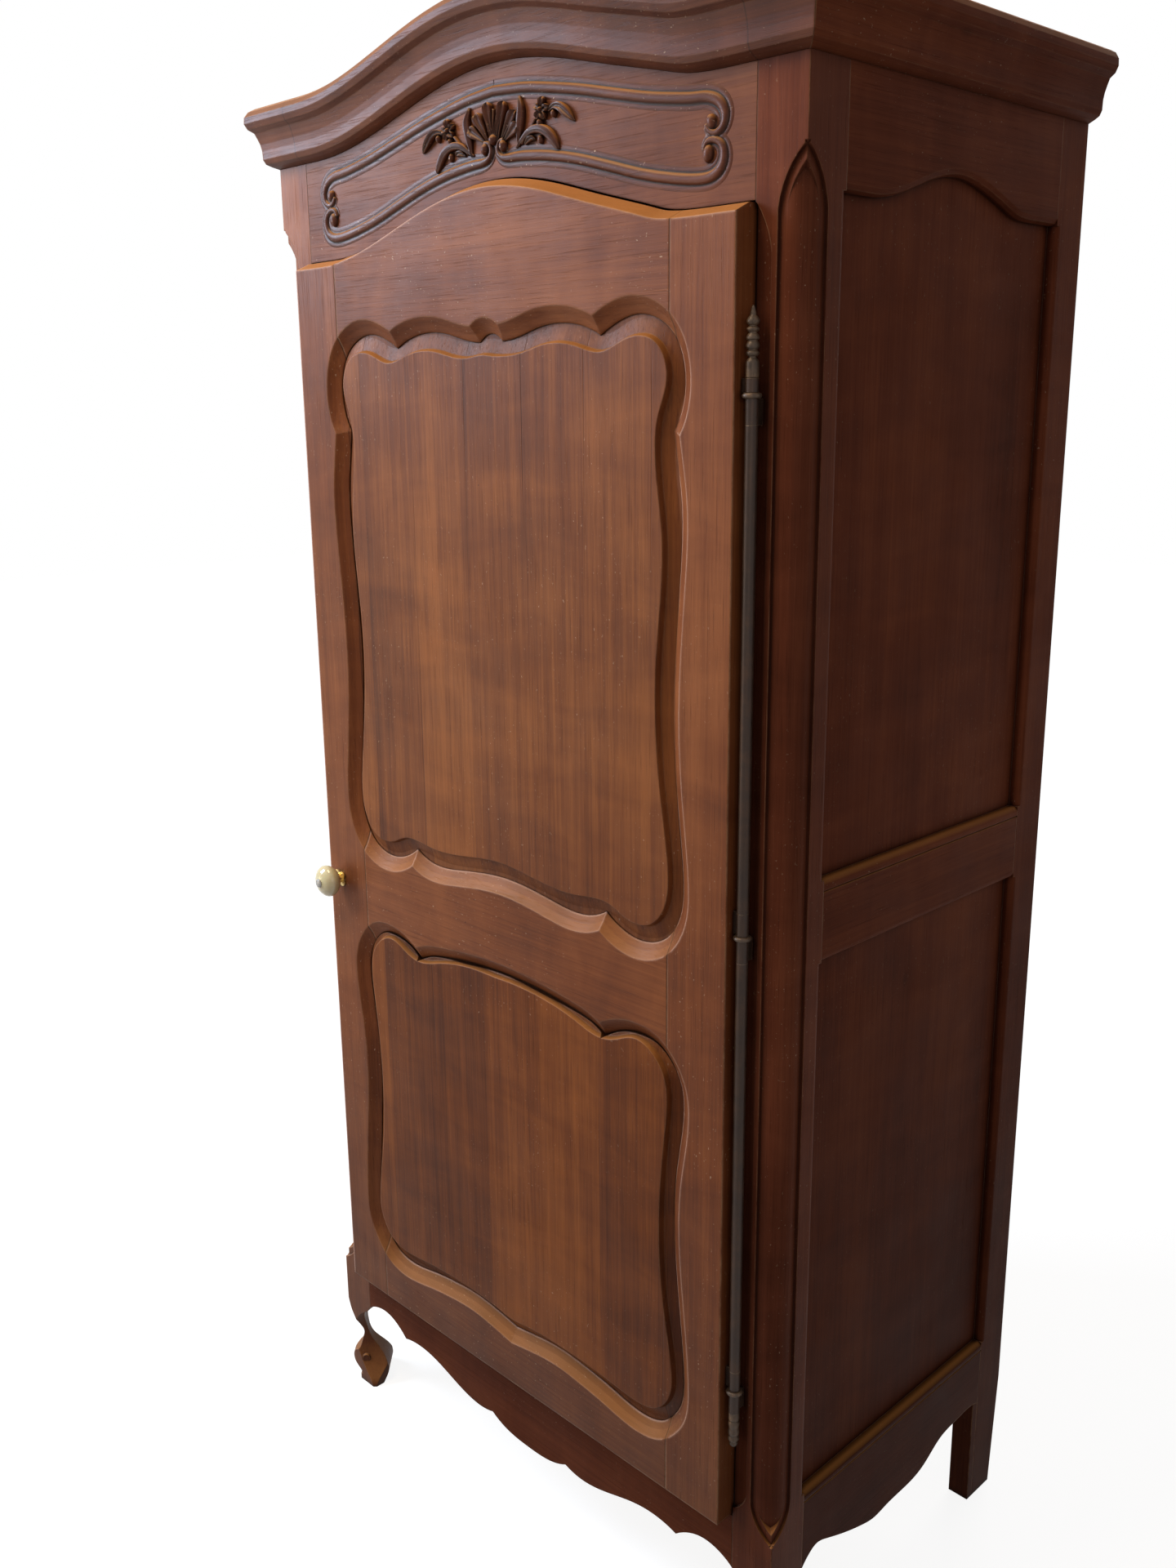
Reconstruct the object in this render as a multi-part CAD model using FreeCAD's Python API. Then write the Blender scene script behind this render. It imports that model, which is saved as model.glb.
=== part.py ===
import FreeCAD, Part
import math
import os

# French provincial one-door cupboard (bonnetiere): an arched, moulded cornice and frieze, one door with two
# shaped raised panels on a full-height hinge column, a scalloped apron and two scroll feet.
#
# All sizes are in millimetres. +X is to the right of someone who faces the door, +Y runs from the front to
# the back and +Z is up. While the pieces are made, y = 0 is the front face of the carcase frame and z = 0
# is the floor. Each piece is moved at the end, so that the origin is on the floor under the middle.

# ---- Carcase ----
body_width = 960.0            # over the outer faces of the stiles
body_depth = 582.0            # from the frame's front face to the back of the rear stiles
stile_width = 67.0            # front stile, seen from the front
stile_depth = 68.0            # front stile, seen from the side
rear_stile_width = 60.0       # rear stile, seen from the back
rear_stile_depth = 63.0       # rear stile, seen from the side
frame_thickness = 26.0        # frieze rail and side rails
apron_thickness = 24.0        # front apron
frame_tenon_length = 32.0     # tenons of the frieze rail and of the front apron
frame_tenon_inset = 8.0       # those tenons, behind the frame's face
frame_tenon_thickness = 9.0
frame_tenon_shoulder = 14.0   # apron's upper edge to its tenon
board_clearance = 2.0         # between a board's edge and what it fits beside
spare = 1.0                   # how far a cutting shape runs past what it cuts

# ---- Levels ----
door_bottom = 250.0           # lower edge of the door
door_top = 1899.0             # upper edge of the door at its sides
cornice_bottom = 2035.0       # underside of the cornice at its ends
cornice_height = 82.5
cornice_rebate = 56.0         # height of the cornice's seat on the rails, above its underside

# ---- Door ----
door_proud = 29.0             # how far the door stands out of the frame
door_thickness = 36.0
door_gap = 2.0                # all round the door
door_rise = 67.0              # rise of the door's arched top
door_arch_half = 355.0        # half span of that arch
door_bevel_height = 10.0      # bevel along the arched top
door_bevel_depth = 22.0
door_stile_shoulder = 94.0    # door edge to the rails' shoulder lines
door_stile_blank = 111.0      # door edge to the inner edge of the stile, moulding included
upper_stile_face = 60.0       # least width of the stile beside the upper panel
lower_stile_face = 54.0       # least width of the stile beside the lower panel
top_rail_face = 85.0          # door top to the top of the upper opening
mid_rail_bottom = 934.0       # top of the lower opening
mid_rail_face = 82.0          # from there to the bottom of the upper opening
bottom_rail_face = 64.0       # door bottom to the bottom of the lower opening
shoulder_reach = 80.0         # how far a rail's shoulder runs past the opening's top or bottom
door_tenon_length = 50.0
door_tenon_shoulder = 16.0    # edge of a rail's face to its tenon

# ---- Door moulding and raised panels: insets from the opening's outline, depths from the door's face ----
moulding_width = 19.2         # sloping moulding round each opening
moulding_depth = 13.6
moulding_hollow = 1.0         # how far its middle is hollowed
groove_depth = 15.0           # front wall of the groove that holds the panel, behind the door's face
groove_width = 7.0
groove_inset = 11.0           # bottom of the groove, inset from the opening's outline
tongue_clearance = 0.7        # panel tongue to the bottom of its groove
tongue_play = 0.15            # panel tongue to each wall of its groove
field_depth = 2.2             # the raised field, behind the door's face
field_step = 7.4              # height of the moulded step round the field
field_step_width = 3.0
border_width = 17.0           # sloping border outside that step

# ---- Stile mouldings ----
corner_reach = 37.0           # the moulded outer corner, on each face
corner_flat = 8.5             # its sunk flats beside the round shaft
corner_flat_depth = 4.0
corner_tip = 1952.0           # pointed top of the moulded corner
corner_foot = 238.0           # pointed bottom of it
corner_point_top = 82.0       # length of the upper point
corner_point_foot = 55.0      # length of the lower point
corner_shaft_inset = 14.0     # the shaft's own points, inside those of the flats
hinge_chamfer_width = 23.0    # hollowed inner edge of the front stiles
hinge_chamfer_depth = 4.0
chamfer_tongue = 75.0         # length of the chamfer's curved stop
chamfer_foot_rise = 12.0      # the chamfer's lower end, above the door's lower edge
ovolo = 8.0                   # rounded inner edge of the side frames
rail_quirk_inset = 14.0       # groove along a side rail, below its upper edge
rail_quirk_width = 2.6
rail_quirk_depth = 1.6

# ---- Cornice ----
cornice_overhang = 35.0
cornice_rise = 65.0           # rise of the arched cornice
cornice_arch_half = 384.0     # half span of that arch
cornice_clearance = 0.3       # between the cornice's seat and the arched rail

# ---- Sides and back ----
side_recess = 14.0            # side panel, behind the rails' faces
panel_thickness = 8.0
panel_tongue = 8.0            # depth of the grooves that hold the side and back panels
side_top_rail_height = 181.7  # arched side rail, at its ends
side_arch_rise = 36.0
side_arch_half = 170.0
side_mid_bottom = 1042.0
side_mid_height = 104.0
side_bottom_top = 282.0       # upper edge of the side apron
back_thickness = 20.0
back_setback = 7.0            # back frame, in front of the rear stiles' back faces
back_top_bottom = 1960.0      # lower edge of the top back rail
back_mid_bottom = 1120.0
back_mid_height = 80.0
back_bottom_bottom = 200.0
back_bottom_height = 90.0

# ---- Aprons and feet ----
apron_drop = 133.5            # from the door's lower edge to the apron's lowest point
side_apron_lowest = 135.0     # height of the side apron's lowest point
side_apron_rise = 46.0        # from there to the top of its end arches
arch_run_in = 16.0            # how far the end arches run on into the front stiles
arch_run_drop = 37.0          # height of that stretch
knee_height = 154.0           # where the scroll foot leaves the square post
foot_depth = 71.0             # from the post's corner to the inner side of the toe, on the diagonal
foot_half_width = 9.0         # half of the ankle, across the diagonal
foot_eye_radius = 7.0         # boss on each side of the scroll
foot_eye_half = 24.0          # half of its length, across the diagonal
foot_eye_inset = 30.5         # its axis, from the post's corner
foot_eye_height = 44.0
rear_foot_width = 33.0        # rear foot under the side apron, seen from the back
rear_foot_rake = 13.0         # how far its back face leans forward at the floor
rake_height = 190.0           # height where that rake starts
bracket_depth = 13.0          # block in front of the rear foot

# ---- Inside ----
floor_thickness = 20.0
shelf_thickness = 22.0
lower_shelf_level = 700.0
middle_shelf_level = 1130.0
upper_shelf_level = 1560.0
bearer_height = 25.0
bearer_width = 20.0
top_board_bottom = 2050.0
top_board_thickness = 18.0

# ---- Hinge column ----
hinge_reach = 13.0            # door edge to hinge axis
hinge_forward = 14.0          # hinge axis, in front of the frame's face
rod_radius = 7.3              # outside of knuckles and sleeves
pin_radius = 4.0
pin_clearance = 0.05          # running clearance round the pin
ring_radius = 11.0
ring_height = 6.0
upper_ring_level = 1702.0
middle_ring_level = 1081.5
lower_ring_level = 457.0
knuckle_height = 28.0
top_knuckle_height = 15.0
axial_clearance = 0.3
leaf_thickness = 2.5
door_leaf_reach = 31.0        # how far a leaf goes into the door's edge
frame_leaf_reach = 26.0       # how far a leaf goes into the stile
finial_top = 1795.0
spire_height = 62.0           # beads and spire of the top finial, over its barrel
finial_bottom = 374.0
foot_turning_height = 44.0    # turned part of the bottom finial

# ---- Knob and latch ----
knob_from_edge = 27.0         # spindle to the door's free edge
knob_height = 976.0
knob_radius = 25.0
knob_length = 34.0
knob_neck = 5.0               # collar between rosette and knob
rosette_thickness = 3.0
rosette_radius = 15.0
collar_radius = 8.0
nose_height = 3.5
spindle_radius = 4.0
cam_length = 45.0
cam_width = 16.0
cam_thickness = 3.0
cam_gap = 0.4                 # door back to cam
strike_thickness = 1.2
strike_border = 15.0          # plate beyond its slot, above and below
strike_back_border = 6.5      # plate behind its slot
strike_front_border = 0.9     # plate in front of its slot
strike_clearance = 1.5        # cam to the slot's walls
nut_height = 4.0
nut_radius = 7.0              # over its corners

# ---- Worked out from the sizes above ----
half = body_width / 2
opening_half = half - stile_width
door_half = opening_half - door_gap
door_front = -door_proud
door_back = door_thickness - door_proud
hinge_x = door_half + hinge_reach
hinge_y = -hinge_forward
pin_bore = pin_radius + pin_clearance
knob_x = -(door_half - knob_from_edge)
knob_base = door_front - rosette_thickness - knob_neck
knob_nose = knob_base - knob_length
y_middle = (knob_nose - nose_height + body_depth) / 2
rail_top = cornice_bottom + cornice_rebate - cornice_clearance
floor_top = door_bottom - 2 * door_gap
inner_x = half - frame_thickness
side_y0 = stile_depth
side_y1 = body_depth - rear_stile_depth
side_rail_top_ends = rail_top - side_top_rail_height
ring_levels = (upper_ring_level, middle_ring_level, lower_ring_level)
shelf_levels = (lower_shelf_level, middle_shelf_level, upper_shelf_level)
back_y1 = body_depth - back_setback
back_y0 = back_y1 - back_thickness
back_x = half - rear_stile_width


def v(x, y, z):
    return FreeCAD.Vector(x, y, z)


def box(x0, x1, y0, y1, z0, z1):
    return Part.makeBox(x1 - x0, y1 - y0, z1 - z0, v(x0, y0, z0))


def cylinder(radius, x, y, z0, z1):
    return Part.makeCylinder(radius, z1 - z0, v(x, y, z0), v(0, 0, 1))


def spline(points):
    curve = Part.BSplineCurve()
    curve.interpolate(points)
    return curve.toShape()


def arc(first, middle, last):
    return Part.Arc(first, middle, last).toShape()


def flats(first, middle, last, count):
    """Straight edges along the arc through three points, like the flats that a plane leaves."""
    points = arc(first, middle, last).discretize(Number=count + 1)
    return [line(a, b) for a, b in zip(points, points[1:])]


def line(first, last):
    return Part.LineSegment(first, last).toShape()


def extrude(edges, direction):
    """Straight-sided solid between an outline and the same outline moved along a direction."""
    near = Part.Wire(edges)
    far = near.copy()
    far.translate(direction)
    return Part.makeLoft([near, far], True, True)


def polyline_face(points):
    return Part.Face(Part.makePolygon(points + [points[0]]))


def polygon(points, direction):
    return polyline_face(points).extrude(direction)


def fuse(first, *others):
    shape = first
    for other in others:
        shape = shape.fuse(other)
    return shape.removeSplitter()


def cut(first, *others):
    shape = first
    for other in others:
        shape = shape.cut(other)
    return shape


def mirror_x(shape):
    return shape.mirror(v(0, 0, 0), v(1, 0, 0))


def arch(x, half_span, rise):
    """Height of a low S-sided arch, above its ends, at x from its middle."""
    if abs(x) >= half_span:
        return 0.0
    return rise * (1 + math.cos(math.pi * x / half_span)) / 2


def arch_edges(level, half_length, half_span, rise, y):
    """The arch as edges from left to right, with a flat stretch at each end, in the plane at y."""
    steps = 4
    xs = [half_span * k / steps for k in range(-steps, steps + 1)]
    points = [v(x, y, level + arch(x, half_span, rise)) for x in xs]
    curve = Part.BSplineCurve()
    curve.interpolate(Points=points, InitialTangent=v(1, 0, 0), FinalTangent=v(1, 0, 0))
    left = line(v(-half_length, y, level), points[0])
    right = line(points[-1], v(half_length, y, level))
    return [left, curve.toShape(), right]


def arch_region(level, top, half_length, half_span, rise, y0, y1):
    """Solid between an arch below and a flat level above."""
    edges = arch_edges(level, half_length, half_span, rise, y0)
    edges.append(line(v(half_length, y0, level), v(half_length, y0, top)))
    edges.append(line(v(half_length, y0, top), v(-half_length, y0, top)))
    edges.append(line(v(-half_length, y0, top), v(-half_length, y0, level)))
    return extrude(edges, v(0, y1 - y0, 0))


# ---- Shaped openings of the door ----
# Each outline is a closed chain of runs, given for the right half only and clockwise from the top middle.
# Its points are shares of the opening's half width and of its height. Runs meet in cusps.
upper_outline = (
    ((0.0, 0.9875), (0.077, 0.9756)),
    ((0.077, 0.9756), (0.151, 0.981), (0.241, 0.991), (0.45, 0.992), (0.556, 0.977)),
    ((0.556, 0.977), (0.627, 0.991), (0.735, 1.0), (0.932, 0.961), (0.987, 0.848), (0.949, 0.808)),
    ((0.949, 0.808), (0.963, 0.772), (0.98, 0.724), (0.977, 0.604), (0.951, 0.4), (0.977, 0.243),
     (1.0, 0.14), (0.994, 0.096), (0.903, 0.025), (0.738, 0.0), (0.644, 0.0075), (0.561, 0.026)),
    ((0.561, 0.026), (0.41, 0.01), (0.274, 0.016), (0.0, 0.029)),
)
lower_outline = (
    ((0.0, 1.0), (0.269, 0.99), (0.403, 0.98), (0.499, 0.968), (0.549, 0.956)),
    ((0.549, 0.956), (0.672, 0.985), (0.754, 0.989), (0.821, 0.983), (0.941, 0.929), (0.982, 0.88),
     (0.992, 0.826), (0.958, 0.671), (1.0, 0.206), (0.979, 0.098), (0.934, 0.056), (0.86, 0.017),
     (0.766, 0.0), (0.538, 0.0145), (0.403, 0.025), (0.269, 0.03), (0.134, 0.0226), (0.0, 0.01)),
)
# An outline's middle is smooth where its first or last run crosses x = 0 without a corner.
upper_smooth = (True, True)
lower_smooth = (True, False)


def whole_runs(outline, smooth, half_width, bottom, top):
    """Both halves of an outline as lists of (x, z) points, clockwise from the top."""
    right = [[(half_width * px, bottom + (top - bottom) * pz) for px, pz in run] for run in outline]
    left = [[(-x, z) for x, z in reversed(run)] for run in reversed(right)]
    runs = right + left
    if smooth[1]:
        middle = len(right)
        runs[middle - 1:middle + 1] = [runs[middle - 1] + runs[middle][1:]]
    if smooth[0]:
        runs = [runs[-1] + runs[0][1:]] + runs[1:-1]
    return runs


def run_normals(run):
    """Unit normals of a run at its points. They point into the opening."""
    curve = Part.BSplineCurve()
    curve.interpolate([v(x, 0, z) for x, z in run])
    normals = []
    for x, z in run:
        tangent = curve.tangent(curve.parameter(v(x, 0, z)))[0]
        normals.append((tangent.z, -tangent.x))
    return normals


def inset_runs(runs, inset):
    """The runs, moved into the opening by an inset. Neighbours still meet, in a mitre."""
    normals = [run_normals(run) for run in runs]
    moved = []
    for k, run in enumerate(runs):
        own = list(normals[k])
        before = normals[k - 1][-1]
        after = normals[(k + 1) % len(runs)][0]
        for end, other in ((0, before), (-1, after)):
            nx, nz = own[end]
            share = 1 + nx * other[0] + nz * other[1]
            own[end] = ((nx + other[0]) / share, (nz + other[1]) / share)
        moved.append([(x + inset * nx, z + inset * nz) for (x, z), (nx, nz) in zip(run, own)])
    return moved


def cusped_wire(runs, inset, depth):
    """The outline at an inset and a depth behind the door's face, with its cusps."""
    y = door_front + depth
    return Part.Wire([spline([v(x, y, z) for x, z in run]) for run in inset_runs(runs, inset)])


# Each raised field has a softer outline of its own, in the same shares, from the top middle to the foot.
upper_field = ((0.0, 0.93), (0.1, 0.927), (0.2, 0.931), (0.28, 0.939), (0.46, 0.937), (0.59, 0.926),
               (0.71, 0.943), (0.84, 0.934), (0.887, 0.889), (0.848, 0.833), (0.836, 0.795), (0.866, 0.67),
               (0.84, 0.47), (0.868, 0.26), (0.895, 0.18), (0.875, 0.092), (0.82, 0.065), (0.69, 0.061),
               (0.62, 0.074), (0.43, 0.072), (0.0, 0.086))
lower_field = ((0.0, 0.961), (0.15, 0.96), (0.4, 0.938), (0.545, 0.92), (0.61, 0.927), (0.73, 0.951),
               (0.84, 0.918), (0.872, 0.76), (0.872, 0.34), (0.91, 0.2), (0.908, 0.155), (0.84, 0.09),
               (0.6, 0.077), (0.34, 0.086), (0.1, 0.08), (0.0, 0.074))


def whole_field(outline, half_width, bottom, top):
    """Both halves of a field's outline as one closed list of (x, z) points, clockwise from the top."""
    right = [(half_width * px, bottom + (top - bottom) * pz) for px, pz in outline]
    left = [(-x, z) for x, z in reversed(right[1:-1])]
    return right + left


def field_wire(field, outset, depth):
    """A field's outline as one closed curve, moved outwards by an outset."""
    curve = Part.BSplineCurve()
    curve.interpolate([v(x, 0, z) for x, z in field], True)
    points = []
    for x, z in field:
        tangent = curve.tangent(curve.parameter(v(x, 0, z)))[0]
        points.append(v(x - outset * tangent.z, door_front + depth, z + outset * tangent.x))
    moved = Part.BSplineCurve()
    moved.interpolate(points, True)
    return Part.Wire([moved.toShape()])


def prism(wire, depth):
    return extrude(wire.Edges, v(0, depth, 0))


def opening_tools(runs):
    """What is cut from the door's frame: the moulding, the way through and the panel groove."""
    margin = 1.0
    slope = moulding_width / moulding_depth
    levels = (
        (-margin * slope, -margin),
        (0.5 * moulding_width, 0.5 * moulding_depth + moulding_hollow),
        (moulding_width, moulding_depth),
    )
    moulding = Part.makeLoft([cusped_wire(runs, inset, depth) for inset, depth in levels], True, True)
    through = prism(cusped_wire(runs, moulding_width, moulding_depth), door_thickness)
    groove = prism(cusped_wire(runs, groove_inset, groove_depth), groove_width)
    return [moulding, through, groove]


def raised_panel(runs, field):
    """Raised panel: a tongue held in the groove, a sloping border and a stepped field."""
    tongue_front = groove_depth + tongue_play
    tongue_thickness = groove_width - 2 * tongue_play
    tongue = prism(cusped_wire(runs, groove_inset + tongue_clearance, tongue_front), tongue_thickness)
    levels = (
        (field_step_width + border_width, tongue_front + tongue_thickness / 2),
        (field_step_width + border_width, tongue_front),
        (field_step_width, field_depth + field_step),
        (0.0, field_depth),
    )
    raised = Part.makeLoft([field_wire(field, outset, depth) for outset, depth in levels], True, True)
    window = prism(cusped_wire(runs, moulding_width + tongue_clearance, 0), tongue_front + tongue_thickness / 2)
    return fuse(tongue, raised.common(window))


upper_top = door_top - top_rail_face
mid_rail_top = mid_rail_bottom + mid_rail_face
lower_bottom = door_bottom + bottom_rail_face
upper_runs = whole_runs(upper_outline, upper_smooth, door_half - upper_stile_face, mid_rail_top, upper_top)
lower_runs = whole_runs(lower_outline, lower_smooth, door_half - lower_stile_face, lower_bottom,
                        mid_rail_bottom)
upper_raised = whole_field(upper_field, door_half - upper_stile_face, mid_rail_top, upper_top)
lower_raised = whole_field(lower_field, door_half - lower_stile_face, lower_bottom, mid_rail_bottom)


def door_blank():
    """The whole outline of the door, with the bevel along its arched top."""
    edges = arch_edges(door_top, door_half, door_arch_half, door_rise, door_front)
    edges.append(line(v(door_half, door_front, door_top), v(door_half, door_front, door_bottom)))
    edges.append(line(v(door_half, door_front, door_bottom), v(-door_half, door_front, door_bottom)))
    edges.append(line(v(-door_half, door_front, door_bottom), v(-door_half, door_front, door_top)))
    blank = extrude(edges, v(0, door_thickness, 0))
    margin = 1.0
    slope = door_bevel_height / door_bevel_depth
    wires = []
    for y in (door_front - margin, door_front + door_bevel_depth):
        level = door_top + (y - door_front - door_bevel_depth) * slope
        top = door_top + door_rise + margin
        reach = door_half + margin
        ring = arch_edges(level, reach, door_arch_half, door_rise, y)
        ring.append(line(v(reach, y, level), v(reach, y, top)))
        ring.append(line(v(reach, y, top), v(-reach, y, top)))
        ring.append(line(v(-reach, y, top), v(-reach, y, level)))
        wires.append(Part.Wire(ring))
    return cut(blank, Part.makeLoft(wires, True, True))


def door_tenons(z0, z1):
    """Pair of tenons of a door rail, in the plane of the panel groove."""
    y0 = door_front + groove_depth
    x0 = door_half - door_stile_shoulder
    right = box(x0, x0 + door_tenon_length, y0, y0 + groove_width, z0, z1)
    return [right, mirror_x(right)]


def rail_zone(z0, z1):
    shoulder = door_half - door_stile_shoulder
    return box(-shoulder, shoulder, door_front, door_back, z0, z1)


def door_pieces():
    blank = door_blank()
    tools = opening_tools(upper_runs) + opening_tools(lower_runs)
    peak = door_top + door_rise + spare
    zones = {
        "door_top_rail": rail_zone(upper_top - 1.1 * shoulder_reach, peak),
        "door_middle_rail": rail_zone(mid_rail_bottom - shoulder_reach, mid_rail_top + shoulder_reach),
        "door_bottom_rail": rail_zone(door_bottom, lower_bottom + shoulder_reach),
    }
    tenons = {
        "door_top_rail": door_tenons(upper_top + door_tenon_shoulder, door_top - door_tenon_shoulder),
        "door_middle_rail": door_tenons(mid_rail_bottom + door_tenon_shoulder,
                                        mid_rail_top - door_tenon_shoulder),
        "door_bottom_rail": door_tenons(door_bottom + door_tenon_shoulder / 2,
                                        lower_bottom - door_tenon_shoulder / 2),
    }
    pieces = {}
    for name, zone in zones.items():
        rail = cut(blank.common(zone), *tools)
        pieces[name] = fuse(rail, *tenons[name])
    stile = blank.common(box(door_half - door_stile_blank, door_half, door_front, door_back, door_bottom,
                             peak))
    stile = cut(stile, *tools)
    stile = cut(stile, *zones.values())
    for pair in tenons.values():
        stile = cut(stile, pair[0])
    spindle_hole = Part.makeCylinder(spindle_radius + pin_clearance, door_thickness + 2,
                                     v(knob_x, door_front - 1, knob_height), v(0, 1, 0))
    pieces["door_left_stile"] = cut(mirror_x(stile), spindle_hole)
    right = stile
    for level in ring_levels:
        z0, z1 = door_knuckle_span(level)
        right = cut(right, door_leaf_plate(z0, z1))
    pieces["door_right_stile"] = right
    pieces["door_upper_panel"] = raised_panel(upper_runs, upper_raised)
    pieces["door_lower_panel"] = raised_panel(lower_runs, lower_raised)
    return pieces


# ---- Hinge column ----
def door_knuckle_span(level):
    """Lowest and highest z of the door's knuckle over a ring."""
    z0 = level + ring_height / 2 + axial_clearance
    height = top_knuckle_height if level == ring_levels[0] else knuckle_height
    return z0, z0 + height


def frame_knuckle_span(level):
    z1 = level - ring_height / 2
    return z1 - knuckle_height, z1


def tube(z0, z1, outer=rod_radius):
    bore = cylinder(pin_bore, hinge_x, hinge_y, z0 - 1, z1 + 1)
    return cut(cylinder(outer, hinge_x, hinge_y, z0, z1), bore)


def door_leaf_plate(z0, z1):
    return box(door_half - door_leaf_reach, hinge_x - pin_radius - 1, hinge_y - leaf_thickness / 2,
               hinge_y + leaf_thickness / 2, z0, z1)


def frame_leaf_plate(z0, z1):
    return box(hinge_x - leaf_thickness / 2, hinge_x + leaf_thickness / 2, hinge_y + pin_radius + 1,
               frame_leaf_reach, z0, z1)


def turned(profile, x, y):
    """Solid of revolution about a vertical axis, from (radius, z) points of its outline."""
    points = [v(x, y, profile[0][1])] + [v(x + r, y, z) for r, z in profile] + [v(x, y, profile[-1][1])]
    return polyline_face(points).revolve(v(x, y, 0), v(0, 0, 1), 360)


def hinge_ring(level):
    """Collar with a bevelled rim."""
    h = ring_height / 2
    rim = ring_radius - 0.6 * h
    profile = [v(hinge_x + r, hinge_y, level + z) for r, z in (
        (pin_bore, -h), (rim, -h), (ring_radius, -0.4 * h), (ring_radius, 0.4 * h), (rim, h), (pin_bore, h))]
    return polyline_face(profile).revolve(v(hinge_x, hinge_y, 0), v(0, 0, 1), 360)


def top_finial():
    """Turned finial: a barrel, beads and a spire. Shares of the rod's radius and of the spire's height."""
    barrel_foot = door_knuckle_span(ring_levels[0])[1] + axial_clearance
    turns = ((0.1, 1.0), (0.33, 0.92), (0.49, 0.835), (0.95, 0.734), (0.52, 0.655), (0.93, 0.61),
             (0.57, 0.55), (0.97, 0.453), (0.68, 0.417), (0.99, 0.324), (0.64, 0.26), (0.96, 0.209),
             (0.5, 0.144), (1.0, 0.043))
    barrel_top = finial_top - spire_height
    profile = [(r * rod_radius, barrel_top + share * spire_height) for r, share in turns]
    return turned(profile + [(rod_radius, barrel_foot)], hinge_x, hinge_y)


def bottom_finial():
    """Turned foot of the column. Shares of the rod's radius and of the turned part's height."""
    top = frame_knuckle_span(ring_levels[-1])[0]
    turns = ((0.4, 0.0), (0.78, 0.1), (0.72, 0.19), (0.98, 0.27), (0.8, 0.39), (1.0, 0.48), (0.9, 0.64),
             (1.0, 0.81), (0.8, 0.9), (1.0, 0.97))
    profile = [(r * rod_radius, finial_bottom + share * foot_turning_height) for r, share in turns]
    return turned(profile + [(rod_radius, top)], hinge_x, hinge_y)


def hinge_pieces():
    pieces = {"hinge_top_finial": top_finial(), "hinge_bottom_finial": bottom_finial()}
    pin_top = door_knuckle_span(ring_levels[0])[1] + axial_clearance
    pin_bottom = frame_knuckle_span(ring_levels[-1])[0]
    pieces["hinge_pin"] = cylinder(pin_radius, hinge_x, hinge_y, pin_bottom, pin_top)
    pieces["hinge_rings"] = Part.makeCompound([hinge_ring(level) for level in ring_levels])
    for name, level in zip(("upper", "middle", "lower"), ring_levels):
        z0, z1 = door_knuckle_span(level)
        bore = cylinder(pin_bore, hinge_x, hinge_y, z0 - 1, z1 + 1)
        pieces[name + "_hinge_door_leaf"] = cut(fuse(tube(z0, z1), door_leaf_plate(z0, z1)), bore)
        z0, z1 = frame_knuckle_span(level)
        bore = cylinder(pin_bore, hinge_x, hinge_y, z0 - 1, z1 + 1)
        pieces[name + "_hinge_frame_leaf"] = cut(fuse(tube(z0, z1), frame_leaf_plate(z0, z1)), bore)
    for name, above, below in (("upper", 0, 1), ("lower", 1, 2)):
        z1 = frame_knuckle_span(ring_levels[above])[0]
        z0 = door_knuckle_span(ring_levels[below])[1] + axial_clearance
        pieces[name + "_hinge_sleeve"] = tube(z0, z1)
    return pieces


# ---- Knob and latch ----
def about_y(points, x, z):
    """Solid of revolution about an axis along Y, from (radius, y) points."""
    ring = [v(x, points[0][1], z)] + [v(x + r, y, z) for r, y in points] + [v(x, points[-1][1], z)]
    return polyline_face(ring).revolve(v(x, 0, z), v(0, 1, 0), 360)


def porcelain_knob():
    """Egg-shaped knob, fullest beyond its middle, with a bore for the spindle."""
    shape = ((0.0, 0.37), (0.2, 0.78), (0.44, 1.0), (0.66, 0.97), (0.87, 0.68), (1.0, 0.28))
    profile = [(share_r * knob_radius, knob_base - share * knob_length) for share, share_r in shape]
    egg = about_y(profile, knob_x, knob_height)
    bore = Part.makeCylinder(spindle_radius + pin_clearance, knob_length + 2,
                             v(knob_x, knob_nose - 1, knob_height), v(0, 1, 0))
    return cut(egg, bore)


def rosette():
    """Four-lobed brass plate with a collar that carries the spindle."""
    lobe = rosette_radius * 0.42
    out = rosette_radius - lobe
    shape = Part.makeCylinder(rosette_radius * 0.72, rosette_thickness,
                              v(knob_x, door_front - rosette_thickness, knob_height), v(0, 1, 0))
    for k in range(4):
        angle = math.radians(45 + 90 * k)
        centre = v(knob_x + out * math.cos(angle), door_front - rosette_thickness,
                   knob_height + out * math.sin(angle))
        shape = shape.fuse(Part.makeCylinder(lobe, rosette_thickness, centre, v(0, 1, 0)))
    collar = Part.makeCylinder(collar_radius, knob_neck - axial_clearance,
                               v(knob_x, knob_base + axial_clearance, knob_height), v(0, 1, 0))
    bore = Part.makeCylinder(spindle_radius + pin_clearance, rosette_thickness + knob_neck + 2,
                             v(knob_x, knob_base - 1, knob_height), v(0, 1, 0))
    return cut(fuse(shape, collar), bore)


cam_y0 = door_back + cam_gap
cam_y1 = cam_y0 + cam_thickness


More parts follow.
